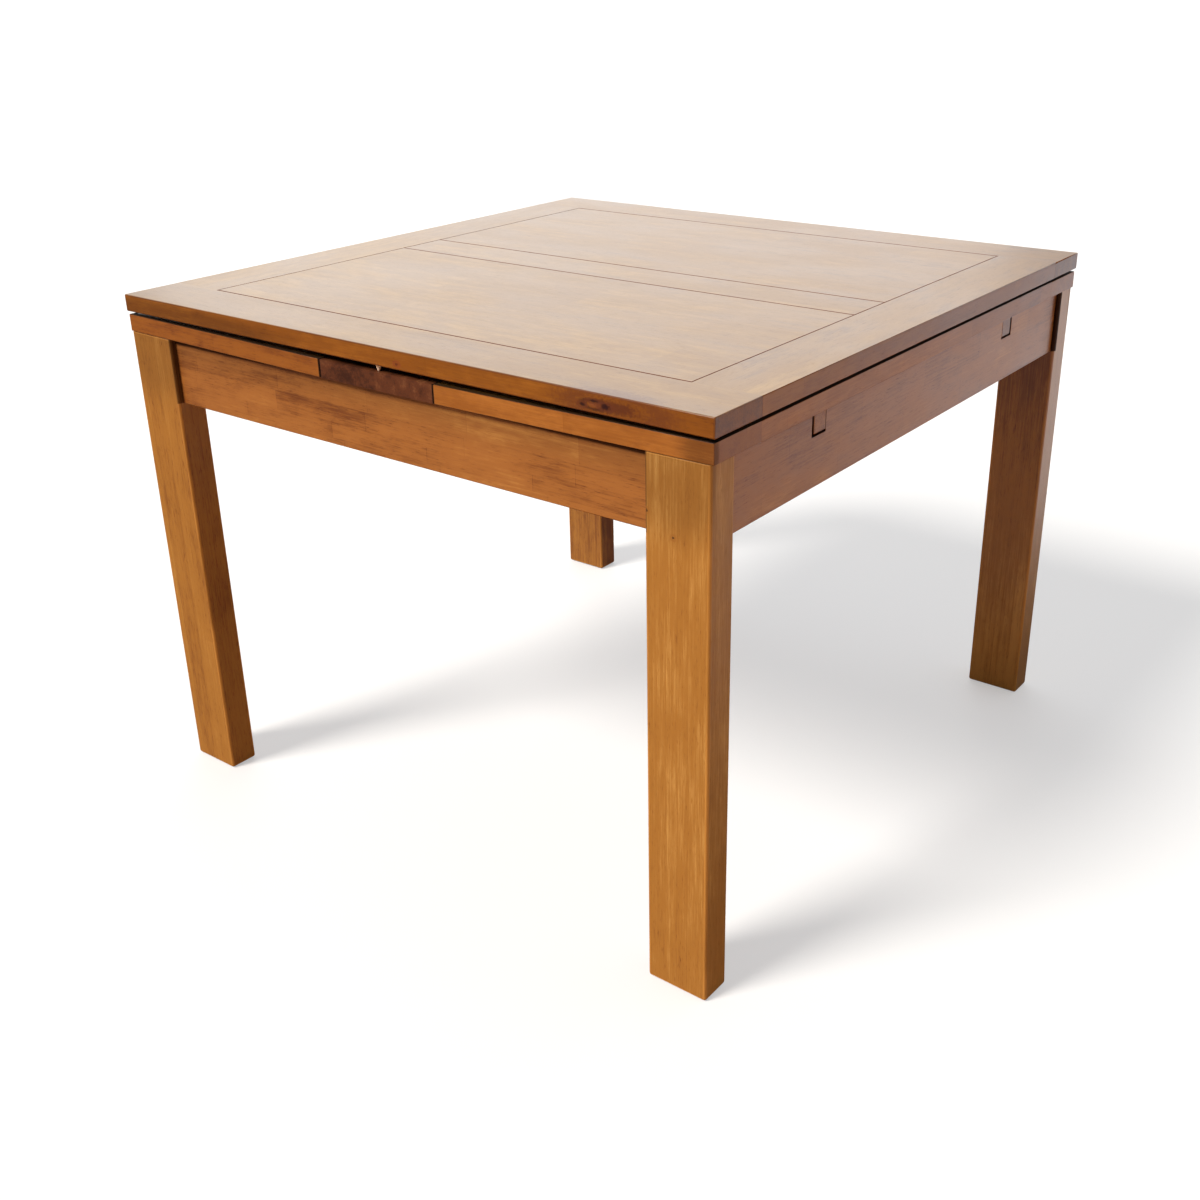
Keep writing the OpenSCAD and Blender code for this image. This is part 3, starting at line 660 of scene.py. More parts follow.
def stain_wood(name, stains, seam_and_shade, stave, block_length, changes, gloss, knots=(), arris_wear_and_highlight=None,
               painted_shade_patches=(), painted_shade_colour=None, coat=0.05, back_coat=None, upper_coat=None, coat_gloss=0.3,
               edge_tint=None, underside_painted_shade=None, turn=None):
    """A stained and lacquered wood, with its colours in screen values.

    stains are the dark, middle and pale takes of the stain, and changes says how much
    staves, streaks, clouds and blotches change the tone. The seam colour also paints the
    shade in notches, and the arris colour darkens worn arrises or, where it is pale, paints a
    highlight on them. The pools listed are patches of painted shade, where the lacquer is
    dulled too: in all four corners alike, there but only on faces that look up, or in one
    place. Their colour is the one given for them, else that of the seams. back_coat is the
    coat at the table's back and upper_coat the one on faces that look up. edge_tint is what
    the stain is multiplied by on the other faces, and the under tint is painted shade that it
    is multiplied by underneath. turn maps a carried-over solid's own axes to its grain.
    """
    wood_mirror = 0.15
    knot_ring_cover = 0.7
    knot_heart_cover = 0.85
    relief_strength = 0.25
    relief_depth = 0.0004
    finish, tree, shader = new_finish(name)
    object_place = place_in(tree)
    dark, middle, pale = (shade(*stain) for stain in stains)
    feeds = {
        "Stave Width": stave, "Block Length": block_length, "Gloss": gloss, "Dark": dark,
        "Middle": middle, "Pale": pale, "Seam": shade(*seam_and_shade),
        "Arris Wear And Highlight": shade(*arris_wear_and_highlight) if arris_wear_and_highlight else dark,
    }
    for label, change in zip(("Stave", "Streak", "Cloud", "Blotch"), changes):
        feeds[label + " Change"] = change
    if turn is None:
        for label, kind in (("Grain", "Vector"), ("Board", "Fac"), ("Tone", "Fac"), ("Faces", "Vector")):
            written = put_node(tree, "ShaderNodeAttribute", attribute_name=label.lower())
            feeds[label] = written.outputs[kind]
    else:
        turned_place = put_node(tree, "ShaderNodeMapping", {"Vector": object_place, "Rotation": turn})
        feeds["Grain"] = turned_place.outputs[0]
    wood = place_effect(tree, wood_tree, feeds)
    colour = wood["Colour"]
    shine = coat
    if back_coat is not None:
        shine = step_over(tree, split(tree, object_place)[1], -0.5, 0.5, coat, back_coat)
    if upper_coat is not None:
        facing = split(tree, place_in(tree, "Normal"))[2]
        upper = step_over(tree, facing, 0.6, 0.95)
        uncut = reckon(tree, "SUBTRACT", 1.0, split(tree, feeds["Faces"])[2])
        shine = reckon(tree, "MULTIPLY", step_over(tree, upper, 0.0, 1.0, shine, upper_coat), uncut)
    if edge_tint is not None:
        tinted = blend_colours(tree, 1.0, colour, edge_tint, "MULTIPLY")
        colour = blend_colours(tree, upper, tinted, colour)
    # Faces that look down are multiplied by the under tint, a painted shade.
    if underside_painted_shade is not None:
        under = step_over(tree, facing, -0.95, -0.6, 1.0, 0.0)
        tinted = blend_colours(tree, 1.0, colour, underside_painted_shade, "MULTIPLY")
        colour = blend_colours(tree, under, colour, tinted)
    clear = None
    # Each pool is a patch of painted shade, which dulls the lacquer as well.
    for shape, where, pool_middle, half_size, fade, strength in painted_shade_patches:
        place = object_place
        if where != "one place":
            place = reckon_vector(tree, "ABSOLUTE", object_place)
        shade_patch = place_effect(tree, shade_patch_tree, {
            "Place": place, "Middle": pool_middle, "Half Size": half_size, "Fade": fade,
        })
        shade_mask = reckon(tree, "MULTIPLY", shade_patch[shape], strength)
        if where == "corners above":
            shade_mask = reckon(tree, "MULTIPLY", shade_mask, upper)
        left = reckon(tree, "SUBTRACT", 1.0, shade_mask)
        clear = left if clear is None else reckon(tree, "MULTIPLY", clear, left)
        colour = blend_colours(tree, shade_mask, colour, shade(*(painted_shade_colour or seam_and_shade)))
    roughness = wood["Roughness"]
    if clear is not None:
        shine = reckon(tree, "MULTIPLY", shine, clear)
        roughness = step_over(tree, clear, 0.0, 1.0, 1.0, roughness, "LINEAR")
    for knot_middle, half_size, heart_colour, ring_colour in knots:
        knot = place_effect(
            tree, knot_tree, {"Place": object_place, "Middle": knot_middle, "Half Size": half_size}
        )
        ring = reckon(tree, "MULTIPLY", knot["Ring"], knot_ring_cover)
        heart = reckon(tree, "MULTIPLY", knot["Heart"], knot_heart_cover)
        colour = blend_colours(tree, ring, colour, shade(*ring_colour))
        colour = blend_colours(tree, heart, colour, shade(*heart_colour))
    relief = put_node(
        tree, "ShaderNodeBump",
        {"Strength": relief_strength, "Distance": relief_depth, "Height": wood["Height"]},
    )
    feed(shader, {
        "Base Color": colour, "Roughness": roughness, "Normal": relief.outputs[0],
        "Specular IOR Level": wood_mirror, "Coat Weight": shine, "Coat Roughness": coat_gloss,
    })
    return finish


leg_wood = stain_wood(
    "leg_wood", ((108, 57, 22), (158, 107, 45), (200, 153, 84)), (34, 14, 7),
    leg_strip, leg_strip_length, (0.14, 0.1, 0.14, 0.09), 0.42,
    knots=[(middle, half_size, pin_knot_heart, pin_knot_ring) for middle, half_size in leg_knots],
    # The legs' pale arris colour is a painted highlight.
    arris_wear_and_highlight=(196, 138, 66),
    # Painted shade: in the recess beside each side apron, between the back right leg and its end apron,
    # and at the legs' tops under the leaves.
    painted_shade_patches=[
        # shape, where, middle, half size, fade, strength
        ("Box", "all corners", (0.409, 0.4945, 0.6555), (0.003, 0.0055, 0.0505), 0.002, 0.7),
        ("Box", "one place", (0.4925, 0.454, 0.6555), (0.005, 0.0065, 0.0505), 0.0015, 0.95),
        ("Oval", "all corners", (0.455, 0.499, 0.700), (0.12, 0.012, 0.12), 0.002, 0.28),
    ],
    coat=0.15, back_coat=0.75,
)


def finish_piece(piece, body, node, finish):
    """Gives a piece its finish, and lets it stand for its solid."""
    piece.data.materials.append(finish)
    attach(piece, body)
    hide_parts(node)


def leg_tone(point, low, high, tones):
    """The tone at a point of a leg, which stands between low and high. Its darkening towards the top and
    the tone of its outer end face are painted light and shade.
    """
    half_way, top_painted_shade, end_face_painted_light = tones
    outer_x = high.x if high.x > 0 else low.x
    if abs(point.x - outer_x) < near:
        return end_face_painted_light
    return half_way + top_painted_shade * (0.5 - point.z / high.z)


leaf_joint = next(joint for joint in frame["joints"] if joint["name"] == "leaf_right_slide")
leaf_slope = math.asin(leaf_joint["axis"][2])
for number, (corner_name, tones) in enumerate(leg_tones_and_painted_light.items()):
    low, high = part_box("leg_" + corner_name)
    inner_z = high.z - (high.x - low.x) * math.tan(leaf_slope)
    left_z, right_z = (high.z, inner_z) if high.x < 0 else (inner_z, high.z)
    outline = [(low.z, low.x), (low.z, high.x), (right_z, high.x), (left_z, low.x)]
    leg = planed(
        "table_leg_" + corner_name, sawn_prism(outline, 1, low.y, high.y),
        grain=2, board=number, round_by=leg_round,
        tone=lambda point: leg_tone(point, low, high, tones),
        soften=lambda middle: leg_top_share if middle.z > high.z - 2 * close else 1,
    )
    finish_piece(leg, "frame", "leg_" + corner_name, leg_wood)

# Glides
# A round nylon glide is pressed into the foot of each leg and stands out a millimetre.
# Its lower edge is rounded so that the table slides on a floor without catching.
glide_radius = 0.011
glide_round = 0.0008
four_corners = [(side_x, side_y) for side_x in (-1, 1) for side_y in (-1, 1)]


def leg_box(side_x, side_y):
    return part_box(f"leg_{'front' if side_y < 0 else 'back'}_{'left' if side_x < 0 else 'right'}")


def turned(name, profile, place, sides=40):
    """A round piece from a profile of (radius, height) points, set at a place."""
    skin = bmesh.new()
    rings = []
    for radius, height in profile:
        count = sides if radius > 0 else 1
        rings.append([
            skin.verts.new((radius * math.cos(turn), radius * math.sin(turn), height))
            for turn in (2 * math.pi * i / count for i in range(count))
        ])
    for under, over in zip(rings, rings[1:]):
        wall(skin, under, over)
    bmesh.ops.recalc_face_normals(skin, faces=skin.faces)
    piece = stand(name, skin, place)
    smooth(piece.data)
    piece.data.set_sharp_from_angle(angle=math.radians(40))
    return piece


def joined(name, pieces):
    """Several like pieces as one."""
    skin = bmesh.new()
    for piece in pieces:
        spare = piece.data
        skin.from_mesh(spare)
        bpy.data.objects.remove(piece)
        bpy.data.meshes.remove(spare)
    return stand(name, skin)


def round_profile(radius, low, high, ease):
    """The profile of a disc or peg whose two edges are rounded."""
    steps = [math.radians(a) for a in (0, 30, 60, 90)]
    lower = [(radius - ease + ease * math.sin(a), low + ease - ease * math.cos(a)) for a in steps]
    upper = [(radius - ease + ease * math.cos(a), high - ease + ease * math.sin(a)) for a in steps]
    return [(0, low)] + lower + upper + [(0, high)]


nylon, nylon_tree, nylon_shader = new_finish("nylon")
nylon_scuffs = noise(nylon_tree, scale=420.0, detail=3.0)
feed(nylon_shader, {
    "Base Color": blend_colours(nylon_tree, nylon_scuffs, shade(60, 48, 40), shade(92, 78, 66)),
    "Roughness": step_over(nylon_tree, nylon_scuffs, 0.3, 0.7, 0.38, 0.6),
})
glide_low, glide_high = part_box("foot_glides")
glides = []
for side_x, side_y in four_corners:
    leg_low, leg_high = leg_box(side_x, side_y)
    middle = (leg_low + leg_high) / 2
    glides.append(turned(
        "glide", round_profile(glide_radius, glide_low.z, glide_high.z, glide_round),
        Matrix.Translation((middle.x, middle.y, 0)),
    ))
finish_piece(joined("glides", glides), "frame", "foot_glides", nylon)

# Aprons
# Four boards join the legs just under the leaves. Each is glued up from short staves, so
# its colour changes in blocks. Notches in the end aprons' upper edges let the lopers out.
apron_round = 0.0012
apron_stave = 0.031
apron_block = 0.17
apron_painted_light = 0.3
apron_depth = 0.05
first_apron_board = 10
loper_width = 0.027
loper_height = 0.028
right_loper_y = 0.266
left_loper_y = 0.226
notch_side_gap = 0.0045
notch_inner_gap = 0.0005
notch_floor_gap = 0.003
notch_share = 0.3
leaf_inner_x = 0.100
leaf_inner_z = 0.6935

apron_wood = stain_wood(
    "apron_wood", ((104, 55, 22), (154, 97, 44), (188, 132, 66)), (24, 11, 6),
    apron_stave, apron_block, (0.22, 0.08, 0.26, 0.16), 0.42, arris_wear_and_highlight=(150, 84, 26),
    # Painted shade: the shadow of the leaves along the side aprons' upper edge, stronger towards the legs,
    # and where the side aprons meet the legs.
    painted_shade_patches=[
        ("Oval", "all corners", (0.410, 0.49, 0.6928), (0.40, 0.01, 0.0048), 0.002, 0.75),
        ("Box", "all corners", (0.4105, 0.49, 0.65), (0.0012, 0.003, 0.06), 0.002, 0.4),
        ("Box", "all corners", (0.2, 0.49, 0.698), (0.21, 0.003, 0.004), 0.055, 0.36),
    ],
    coat=0.35, back_coat=0.65,
)
for number, side in enumerate(("front", "back")):
    low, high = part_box("apron_" + side)
    apron = planed(
        "side_apron_" + side, box_skin((low.x, high.x), (low.y, high.y), (low.z, high.z)),
        grain=0, board=first_apron_board + number, round_by=apron_round,
        # The side aprons grow paler towards the right: painted light.
        tone=lambda point: apron_painted_light * point.x - apron_depth,
        soften=lambda middle: 1 if low.x + close < middle.x < high.x - close else 0,
    )
    finish_piece(apron, "frame", "apron_" + side, apron_wood)


def end_apron(side, loper_y, board):
    """An end apron, with a notch round each of the two lopers that pass it."""
    low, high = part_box("apron_" + side)
    reach = abs(low.x + high.x) / 2 - leaf_inner_x
    notch_z = leaf_inner_z + reach * math.tan(leaf_slope) - loper_height - notch_floor_gap
    inner_y = loper_y - loper_width / 2 - notch_inner_gap
    outer_y = loper_y + loper_width / 2 + notch_side_gap
    outline = [(low.y, low.z), (high.y, low.z), (high.y, high.z)]
    for start, stop in ((outer_y, inner_y), (-inner_y, -outer_y)):
        outline += [(start, high.z), (start, notch_z), (stop, notch_z), (stop, high.z)]
    outline.append((low.y, high.z))

    def soften(middle):
        if not low.y + close < middle.y < high.y - close:
            return 0
        return notch_share if notch_z - close < middle.z < high.z - close else 1

    # The notch walls are marked with the cuts, so the seam colour paints the shade inside the notch.
    def in_notch(middle, normal):
        return abs(normal.x) < 0.5 and notch_z - close < middle.z < high.z - close / 2

    return planed(
        "end_apron_" + side, sawn_prism(outline, 0, low.x, high.x), grain=1, board=board,
        round_by=apron_round, soften=soften, in_hollow=in_notch,
    )


for number, (side, loper_y) in enumerate((("left", left_loper_y), ("right", right_loper_y))):
    apron = end_apron(side, loper_y, first_apron_board + 2 + number)
    finish_piece(apron, "frame", "apron_" + side, apron_wood)

# Corner blocks, bolts and dowels
# A block in each corner is screwed to the two aprons, and a hanger bolt through it pulls
# the leg tight. The bolts, nuts, washers and screws are zinc plated.
bolt_radius = 0.004
bolt_pitch = 0.00125
bolt_in_leg = 0.045
bolt_past_block = 0.0141
thread_depth = 0.0006
nut_half_width = 0.0065
nut_height = 0.0065
nut_bore = 0.0037
nut_face_share = 0.985
washer_thickness = 0.0016
block_reach = 0.036

inner_wood = stain_wood(
    "inner_wood", ((84, 54, 38), (122, 82, 58), (150, 108, 80)), (50, 30, 20),
    0.05, 0.26, (0.4, 0.3, 0.3, 0.2), 0.6, coat_gloss=0.5, turn=(0, 0, math.radians(45)),
)


def refinish(node, finish):
    """Keeps a solid as it is, under a finish of its own."""
    slots = frame["nodes"][node].data.materials
    slots.clear()
    slots.append(finish)


for corner_name in leg_tones_and_painted_light:
    refinish("corner_block_" + corner_name, inner_wood)

zinc, zinc_tree, zinc_shader = new_finish("zinc_plate")
zinc_dull = noise(zinc_tree, scale=90.0)
zinc_spangle = noise(zinc_tree, scale=700.0, detail=3.0)
feed(zinc_shader, {
    "Base Color": blend_colours(zinc_tree, zinc_dull, shade(168, 170, 168), shade(205, 206, 200)),
    "Roughness": step_over(zinc_tree, zinc_spangle, 0.3, 0.7, 0.26, 0.42),
    "Metallic": 1,
})


def threaded_rod(name, radius, low, high, place):
    """A rod with a thread that winds up it, and a small chamfer at its end."""
    sides = 24
    rows_per_turn = 6
    rows = int((high - low) / bolt_pitch * rows_per_turn)
    skin = bmesh.new()
    rings = []
    for k in range(rows + 1):
        height = low + (high - low) * k / rows
        ease = min(1, (high - height) / (2 * thread_depth))
        ring = []
        for i in range(sides):
            phase = (height / bolt_pitch - i / sides) % 1
            cut = thread_depth * (1 - abs(2 * phase - 1)) + thread_depth * (1 - ease)
            turn = 2 * math.pi * i / sides
            out = radius - cut
            ring.append(skin.verts.new((out * math.cos(turn), out * math.sin(turn), height)))
        rings.append(ring)
    for under, over in zip(rings, rings[1:]):
        wall(skin, under, over)
    skin.faces.new(rings[0][::-1])
    skin.faces.new(rings[-1])
    return stand(name, skin, place)


def hex_nut(name, place):
    """A hexagon nut whose corners are turned away at both ends."""
    sides = 48
    skin = bmesh.new()
    rings = []
    for kind, end in (("bore", 0), ("face", 0), ("side", 0), ("side", 1), ("face", 1), ("bore", 1)):
        ring = []
        for i in range(sides):
            turn = 2 * math.pi * i / sides
            hexagon = nut_half_width / math.cos(turn % (math.pi / 3) - math.pi / 6)
            out = {"bore": nut_bore, "face": nut_half_width * nut_face_share, "side": hexagon}[kind]
            cut = (hexagon - nut_half_width) * math.tan(math.pi / 6) if kind == "side" else 0
            height = nut_height - cut if end else cut
            ring.append(skin.verts.new((out * math.cos(turn), out * math.sin(turn), height)))
        rings.append(ring)
    for under, over in zip(rings, rings[1:] + rings[:1]):
        wall(skin, under, over)
    bmesh.ops.recalc_face_normals(skin, faces=skin.faces)
    return stand(name, skin, place)


bolt_low, bolt_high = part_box("hanger_bolts")
bolt_z = (bolt_low.z + bolt_high.z) / 2
rods = []
nuts = []
for side_x, side_y in four_corners:
    leg_low, leg_high = leg_box(side_x, side_y)
    inner_corner = Vector((
        leg_low.x if side_x > 0 else leg_high.x, leg_low.y if side_y > 0 else leg_high.y, bolt_z
    ))
    inward = Vector((-side_x, -side_y, 0)).normalized()
    seat = Matrix.Translation(inner_corner) @ inward.to_track_quat("Z", "Y").to_matrix().to_4x4()
    rods.append(threaded_rod("rod", bolt_radius, -bolt_in_leg, block_reach + bolt_past_block, seat))
    nuts.append(hex_nut("nut", seat @ Matrix.Translation((0, 0, block_reach + washer_thickness))))
finish_piece(joined("leg_bolts", rods), "frame", "hanger_bolts", zinc)
finish_piece(joined("leg_nuts", nuts), "frame", "hanger_nuts", zinc)
for node in ("hanger_washers", "block_screws", "bearer_screws"):
    refinish(node, zinc)

dowel_wood, dowel_tree, dowel_shader = new_finish("beech_dowel")
dowel_way = reckon_vector(dowel_tree, "MULTIPLY", place_in(dowel_tree), (900.0, 900.0, 60.0))
dowel_grain = noise(dowel_tree, dowel_way)
feed(dowel_shader, {
    "Base Color": blend_colours(dowel_tree, dowel_grain, shade(196, 160, 118), shade(226, 198, 158)),
    "Roughness": 0.62,
})
refinish("frame_dowels", dowel_wood)

# Bearer, guide and pads
# A fixed board lies across the middle between the two leaves, screwed to the side aprons.
# The notched guide under it steers the lopers, and small pale pads carry the loose top.
pad_radius = 0.004
pad_foot = 0.0015
inner_pad_y = 0.150

bearer_wood = stain_wood(
    "bearer_wood", ((58, 28, 15), (88, 47, 26), (122, 76, 46)), (20, 9, 5),
    0.05, 0.3, (0.4, 0.2, 0.4, 0.4), 0.5,
    # Painted shade in the gaps at the bearer's ends, next to the leaves.
    painted_shade_patches=[("Box", "all corners", (0.0988, 0.25, 0.705), (0.0006, 0.25, 0.015), 0.0008, 0.9)],
    coat=0.1, coat_gloss=0.4, turn=(0, 0, math.radians(90)),
)
refinish("centre_bearer", bearer_wood)
refinish("loper_guide", bearer_wood)

felt, felt_tree, felt_shader = new_finish("pale_felt")
felt_fuzz = noise(felt_tree, scale=2400.0, detail=3.0)
felt_relief = put_node(
    felt_tree, "ShaderNodeBump", {"Strength": 0.6, "Distance": 0.0004, "Height": felt_fuzz}
)
feed(felt_shader, {
    "Base Color": blend_colours(felt_tree, felt_fuzz, shade(226, 196, 170), shade(250, 234, 216)),
    "Normal": felt_relief.outputs[0],
    "Roughness": 0.95,
})
pad_low, pad_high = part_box("rest_pads")
pad_x = (pad_low.x + pad_high.x) / 2
outer_pad_y = pad_high.y - pad_radius
pad_profile = [
    (0, pad_low.z), (pad_foot - 0.0003, pad_low.z), (pad_foot, pad_low.z + 0.0004),
    (pad_radius - 0.0004, pad_high.z - 0.0012), (pad_radius - 0.0002, pad_high.z - 0.0005),
    (pad_radius - 0.0006, pad_high.z), (0, pad_high.z),
]
pads = [
    turned("pad", pad_profile, Matrix.Translation((pad_x, y, 0)), sides=28)
    for y in (-outer_pad_y, -inner_pad_y, inner_pad_y, outer_pad_y)
]
finish_piece(joined("pads", pads), "frame", "rest_pads", felt)

# Leaves
# Two framed leaves lie under the top, each with a panel between stiles and rails and a V
# cut along every joint. They slope down a little towards the middle of the table.
leaf_thickness = 0.024
leaf_length = 0.3985
leaf_half_width = 0.498
leaf_stile_width = 0.091
leaf_rail_width = 0.091
leaf_arris_share = 0.35
# The right leaf is paler than the left, partly by its stain and partly as painted light.
leaf_tones = {"right": 0.16, "left": -0.1}
# The leaves' outer edges are darker, more so towards one end: painted shade.
leaf_edge_painted_shade = 0.1
leaf_edge_painted_shade_slope = 0.45
first_leaf_board = 20
seam_depth = 0.0014
board_round = 0.0018
seam_share = seam_depth / board_round
joint_share = 0.12
whole_side = (-1, 1)
no_part = (1, 2)
cut_all_round = [(axis, sign, *whole_side) for axis in (0, 1) for sign in (-1, 1)]
butted_ends = [(1, -1, *no_part), (1, 1, *no_part)]

leaf_wood = stain_wood(
    "leaf_wood", ((102, 60, 21), (140, 97, 32), (166, 122, 48)), (26, 12, 6),
    0.05, 0.24, (0.2, 0.08, 0.2, 0.2), 0.4,
    # Painted shade: in the gap between each leaf's inner end and the bearer, on the leaves' upper margins
    # under the top's edges, and at the right leaf's front outer corner.
    painted_shade_patches=[
        ("Box", "all corners", (0.100, 0.25, 0.705), (0.001, 0.25, 0.015), 0.001, 0.9),
        ("Box", "corners above", (0.297, 0.4965, 0.72), (0.2, 0.0042, 0.01), 0.005, 0.93),
        ("Box", "corners above", (0.4965, 0.25, 0.72), (0.0042, 0.25, 0.01), 0.005, 0.93),
        ("Oval", "one place", (0.500, -0.498, 0.709), (0.06, 0.012, 0.03), 0.002, 0.42),
    ],
    coat=0.3, back_coat=0.65, upper_coat=1.0, coat_gloss=0.32, edge_tint=(1, 0.71, 0.76, 1),
)


def framed_board(name, low, high, seams, grain, board, arris_share=1, tone=0.0,
                 place=Matrix.Identity(4)):
    """A board of a framed panel. seams lists the sides, as (axis, sign, from, to), that
    meet another board: their upper arris is cut to a V between the two places along it.
    arris_share is how much of board_round the free arrises take."""
    hair = 0.00001
    places = [[low.x, high.x], [low.y, high.y]]
    for axis, _, start, stop in seams:
        along = 1 - axis
        places[along] += [place for place in (start, stop) if low[along] < place < high[along]]

    def soften(middle):
        touching = []
        for axis, sign, start, stop in seams:
            side = high[axis] if sign > 0 else low[axis]
            if abs(middle[axis] - side) < hair:
                touching.append(start < middle[1 - axis] < stop)
        if not touching:
            return arris_share
        if middle.z > high.z - hair:
            return seam_share if all(touching) else 0
        return 0 if middle.z < low.z + hair else joint_share

    return planed(
        name, box_skin(sorted(places[0]), sorted(places[1]), (low.z, high.z)), grain=grain,
        board=board, round_by=board_round, soften=soften,
        seams=[(axis, sign) for axis, sign, _, _ in seams], tone=tone, place=place,
    )


def stiles_and_rails(low_x, high_x, half_width, stile_width, rail_width, rail_names):
    """The frame round a panel: each board's two corners, its seams and its grain's axis."""
    inner = (low_x + rail_width, high_x - rail_width)
    edge = half_width - stile_width
    near_rail, far_rail = rail_names
    return {
        "stile_front": ((low_x, -half_width), (high_x, -edge), [(1, 1, *inner)], 0),
        "stile_back": ((low_x, edge), (high_x, half_width), [(1, -1, *inner)], 0),
        near_rail: ((low_x, -edge), (inner[0], edge), [(0, 1, *whole_side)] + butted_ends, 1),
        far_rail: ((inner[1], -edge), (high_x, edge), [(0, -1, *whole_side)] + butted_ends, 1),
    }


def leaf_place(side):
    """Where a leaf lies: its own X runs outwards along its underside from its inner edge."""
    return (
        Matrix.Rotation(0 if side == "right" else math.pi, 4, "Z")
        @ Matrix.Translation((leaf_inner_x, 0, leaf_inner_z))
        @ Matrix.Rotation(-leaf_slope, 4, "Y")
    )


def leaf_tone(point, part, side):
    """The tone at a point of a leaf, whose outer edge darkens from one end to the other with painted
    shade.
    """
    tone = leaf_tones[side]
    if part == "rail_outer" and point.x > leaf_length - near:
        tone -= leaf_edge_painted_shade + leaf_edge_painted_shade_slope * point.y
    return tone


leaf_boards = stiles_and_rails(
    0, leaf_length, leaf_half_width, leaf_stile_width, leaf_rail_width, ("rail_inner", "rail_outer")
)
leaf_boards["panel"] = (
    (leaf_rail_width, leaf_stile_width - leaf_half_width),
    (leaf_length - leaf_rail_width, leaf_half_width - leaf_stile_width), cut_all_round, 0,
)
other_end = {"stile_front": "stile_back", "stile_back": "stile_front"}
for count, side in enumerate(("right", "left")):
    for index, (part, (low_xy, high_xy, seams, grain)) in enumerate(leaf_boards.items()):
        board = framed_board(
            f"leaf_{side}_board_{part}", Vector((*low_xy, 0)), Vector((*high_xy, leaf_thickness)),
            seams, grain, first_leaf_board + len(leaf_boards) * count + index, leaf_arris_share,
            lambda point: leaf_tone(point, part, side), leaf_place(side),
        )
        node_part = other_end.get(part, part) if side == "left" else part
        finish_piece(board, "leaf_" + side, f"leaf_{side}_{node_part}", leaf_wood)

# Lopers
# Two hardwood runners are screwed under each leaf and slide through the end apron's
# notches and the guide. A dowel across the free end of each stops the leaf at full draw.
loper_round = 0.0012
loper_relief = 0.0015
loper_screwed_length = 0.35
first_loper_board = 40
stop_radius = 0.004
stop_proud = 0.005
stop_round = 0.0008

# The lopers' dark stain is partly painted shade, so the notches round them look dark.
loper_wood = stain_wood(
    "loper_wood", ((48, 24, 13), (72, 40, 23), (98, 58, 36)), (30, 15, 9),
    0.04, 2.0, (0.2, 0.3, 0.2, 0.2), 0.5, coat=0.1, coat_gloss=0.4,
)


def soften_loper(middle):
    """The arrises stay sharp under the leaf, where the loper is screwed to it."""
    against_leaf = middle.z > -near / 2 and middle.x < loper_screwed_length
    return 0 if abs(middle.x) < close or against_leaf else 1


for count, (side, loper_y) in enumerate((("right", right_loper_y), ("left", left_loper_y))):
    place = leaf_place(side)
    back_to_own = place.inverted()
    stop_xs = [(back_to_own @ v.co).x for v in frame["nodes"][f"loper_{side}_stops"].data.vertices]
    stop_x = (min(stop_xs) + max(stop_xs)) / 2
    stop_half = loper_width / 2 + stop_proud
    stops = []
    for index, end in enumerate(("front", "back")):
        node = f"loper_{side}_{end}"
        own = [back_to_own @ v.co for v in frame["nodes"][node].data.vertices]
        inner_x = min(p.x for p in own)
        outer_x = max(p.x for p in own)
        y = math.copysign(loper_y, sum(p.y for p in own))
        outline = [
            (-loper_height, inner_x), (-loper_height, outer_x), (0, outer_x),
            (0, 0), (-loper_relief, 0), (-loper_relief, inner_x),
        ]
        loper = planed(
            f"loper_{side}_{end}_runner", sawn_prism(outline, 1, y - loper_width / 2, y + loper_width / 2),
            grain=0, board=first_loper_board + 2 * count + index, round_by=loper_round,
            soften=soften_loper, place=place,
        )
        finish_piece(loper, "leaf_" + side, node, loper_wood)
        loper.data.materials.append(apron_wood)
        for polygon in loper.data.polygons:
            if (back_to_own @ polygon.center).x > outer_x - close / 2:
                polygon.material_index = 1
        at_stop = place @ Matrix.Translation((stop_x, y, -loper_height / 2))
        stops.append(turned(
            "stop", round_profile(stop_radius, -stop_half, stop_half, stop_round),
            at_stop @ Matrix.Rotation(math.pi / 2, 4, "X"), sides=28,
        ))
    stop_set = joined(f"loper_{side}_stop_dowels", stops)
    finish_piece(stop_set, "leaf_" + side, f"loper_{side}_stops", dowel_wood)
    refinish(f"loper_{side}_screws", zinc)

# Top
# The loose top lies over the leaves: two panels on either side of a middle rail, in a
# frame of four boards. Its underside carries four pegs that drop into the bearer.
top_half = 0.5
top_stile_width = 0.091
top_rail_width = 0.091
mid_rail_half = 0.0415
top_tone = 0.08
top_board_tones = {"stile_front": -0.1, "rail_right": -0.05}
# The top is paler towards the front and left, and its right edge towards the front: painted light.
top_painted_light = Vector((-0.15, -0.2, 0))
right_edge_painted_light = 0.3
first_top_board = 50
peg_radius = 0.009
peg_round = 0.0025

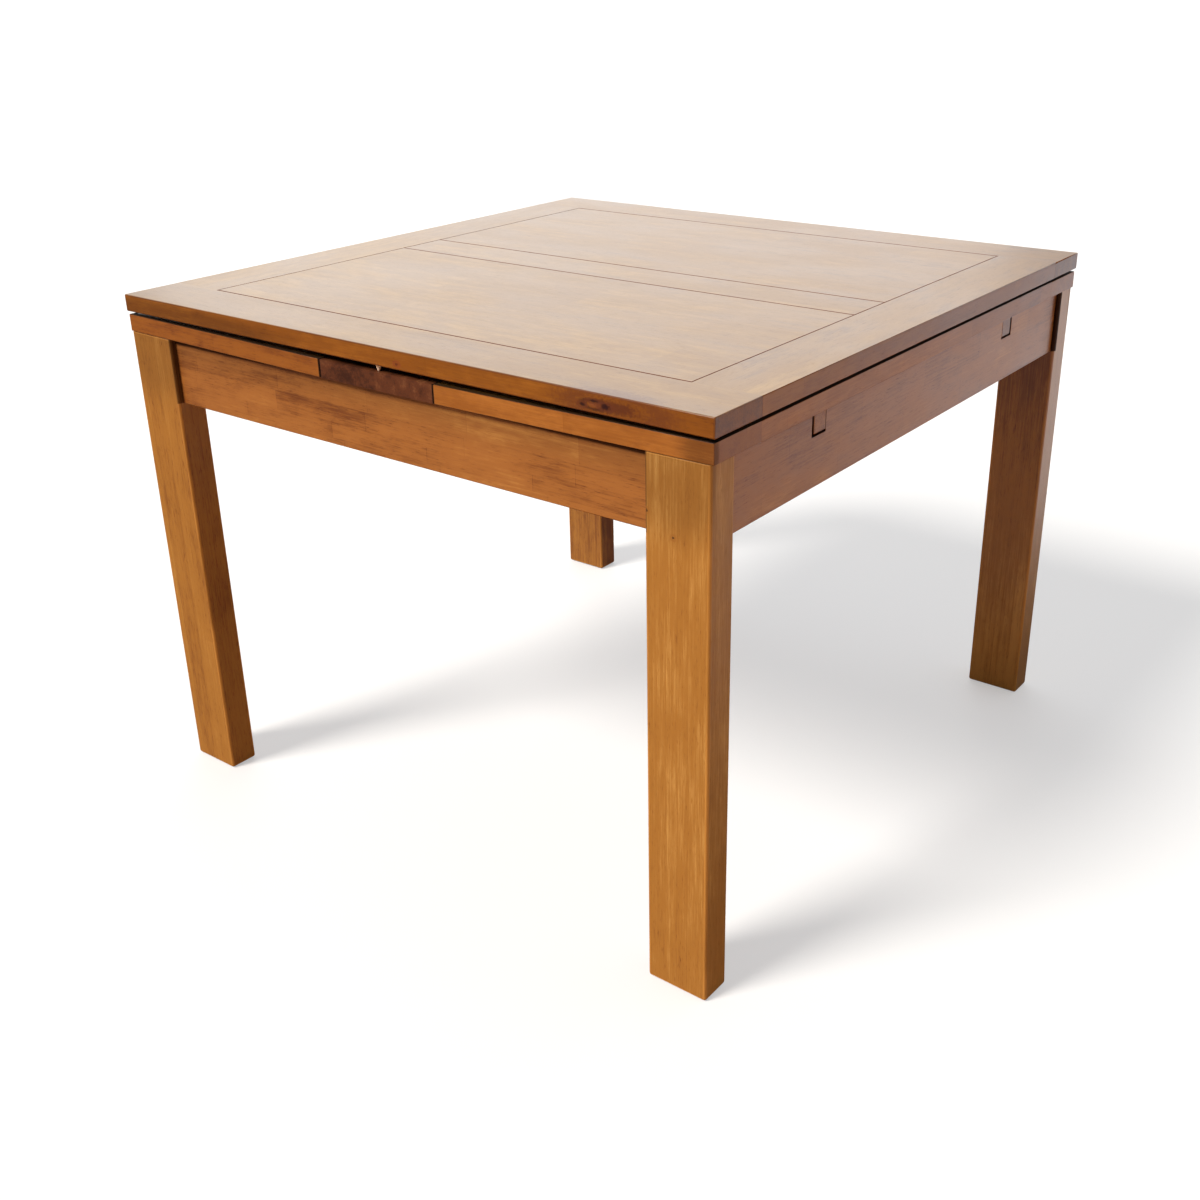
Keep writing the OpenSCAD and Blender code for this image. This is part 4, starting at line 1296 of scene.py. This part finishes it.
knot_dark = (40, 8, 8)
knot_ring = (92, 44, 22)
top_wood = stain_wood(
    "top_wood", ((102, 65, 24), (138, 97, 32), (162, 121, 50)), (92, 40, 8),
    0.048, 0.22, (0.18, 0.12, 0.2, 0.24), 0.36,
    knots=[
        # middle, half size, heart colour, ring colour
        ((0.372, -0.5, 0.7368), (0.064, knot_depth, 0.0150), (82, 36, 14), (96, 48, 19)),
        ((0.345, -0.5, 0.7362), (0.0165, knot_depth, 0.0052), (122, 68, 32), knot_dark),
        ((0.3595, -0.5, 0.7362), (0.0100, knot_depth, 0.0046), knot_dark, knot_ring),
        ((0.3283, -0.5, 0.7340), (0.0065, knot_depth, 0.0036), knot_dark, knot_ring),
        ((0.3440, -0.5, 0.7400), (0.0095, knot_depth, 0.0026), knot_dark, knot_ring),
        ((0.0441, -0.5, 0.7335), (0.0050, knot_depth, 0.0036), (86, 26, 14), (124, 56, 28)),
    ],
    # Painted shade along the left part of the front edge.
    painted_shade_patches=[("Oval", "one place", (-0.44, -0.5, 0.732), (0.36, 0.012, 0.021), 0.002, 0.36)],
    painted_shade_colour=(36, 15, 6), coat=0.3, back_coat=0.65, upper_coat=1.0, coat_gloss=0.32,
    # The under tint is painted shade on the top's underside.
    edge_tint=(0.80, 0.52, 0.26, 1), underside_painted_shade=(0.3, 0.26, 0.24, 1),
)


def top_tone_at(point, part):
    """The tone at a point of the top, paler towards the front and left with painted light, and on its
    right edge palest towards the front, also painted light.
    """
    tone = top_tone + top_board_tones.get(part, 0) + top_painted_light.dot(point)
    if part == "rail_right" and point.x > top_half - near:
        tone += right_edge_painted_light * (top_half - point.y)
    return tone


top_boards = stiles_and_rails(
    -top_half, top_half, top_half, top_stile_width, top_rail_width, ("rail_left", "rail_right")
)
inner = top_half - top_rail_width
edge = top_half - top_stile_width
for part, low_y, high_y in (
    ("mid_rail", -mid_rail_half, mid_rail_half),
    ("panel_front", -edge, -mid_rail_half),
    ("panel_back", mid_rail_half, edge),
):
    top_boards[part] = ((-inner, low_y), (inner, high_y), cut_all_round, 0)
top_low, top_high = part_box("top_stile_front")
for index, (part, (low_xy, high_xy, seams, grain)) in enumerate(top_boards.items()):
    board = framed_board(
        "top_board_" + part, Vector((*low_xy, top_low.z)), Vector((*high_xy, top_high.z)),
        seams, grain, first_top_board + index, tone=lambda point: top_tone_at(point, part),
    )
    finish_piece(board, "top", "top_" + part, top_wood)

peg_low, peg_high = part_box("top_pegs")
peg_profile = round_profile(peg_radius, peg_low.z, peg_high.z, peg_round)
pegs = [
    turned("peg", peg_profile, Matrix.Translation((x, y, 0)))
    for x in (peg_low.x + peg_radius, peg_high.x - peg_radius)
    for y in (peg_low.y + peg_radius, peg_high.y - peg_radius)
]
finish_piece(joined("top_dowels", pegs), "top", "top_pegs", dowel_wood)
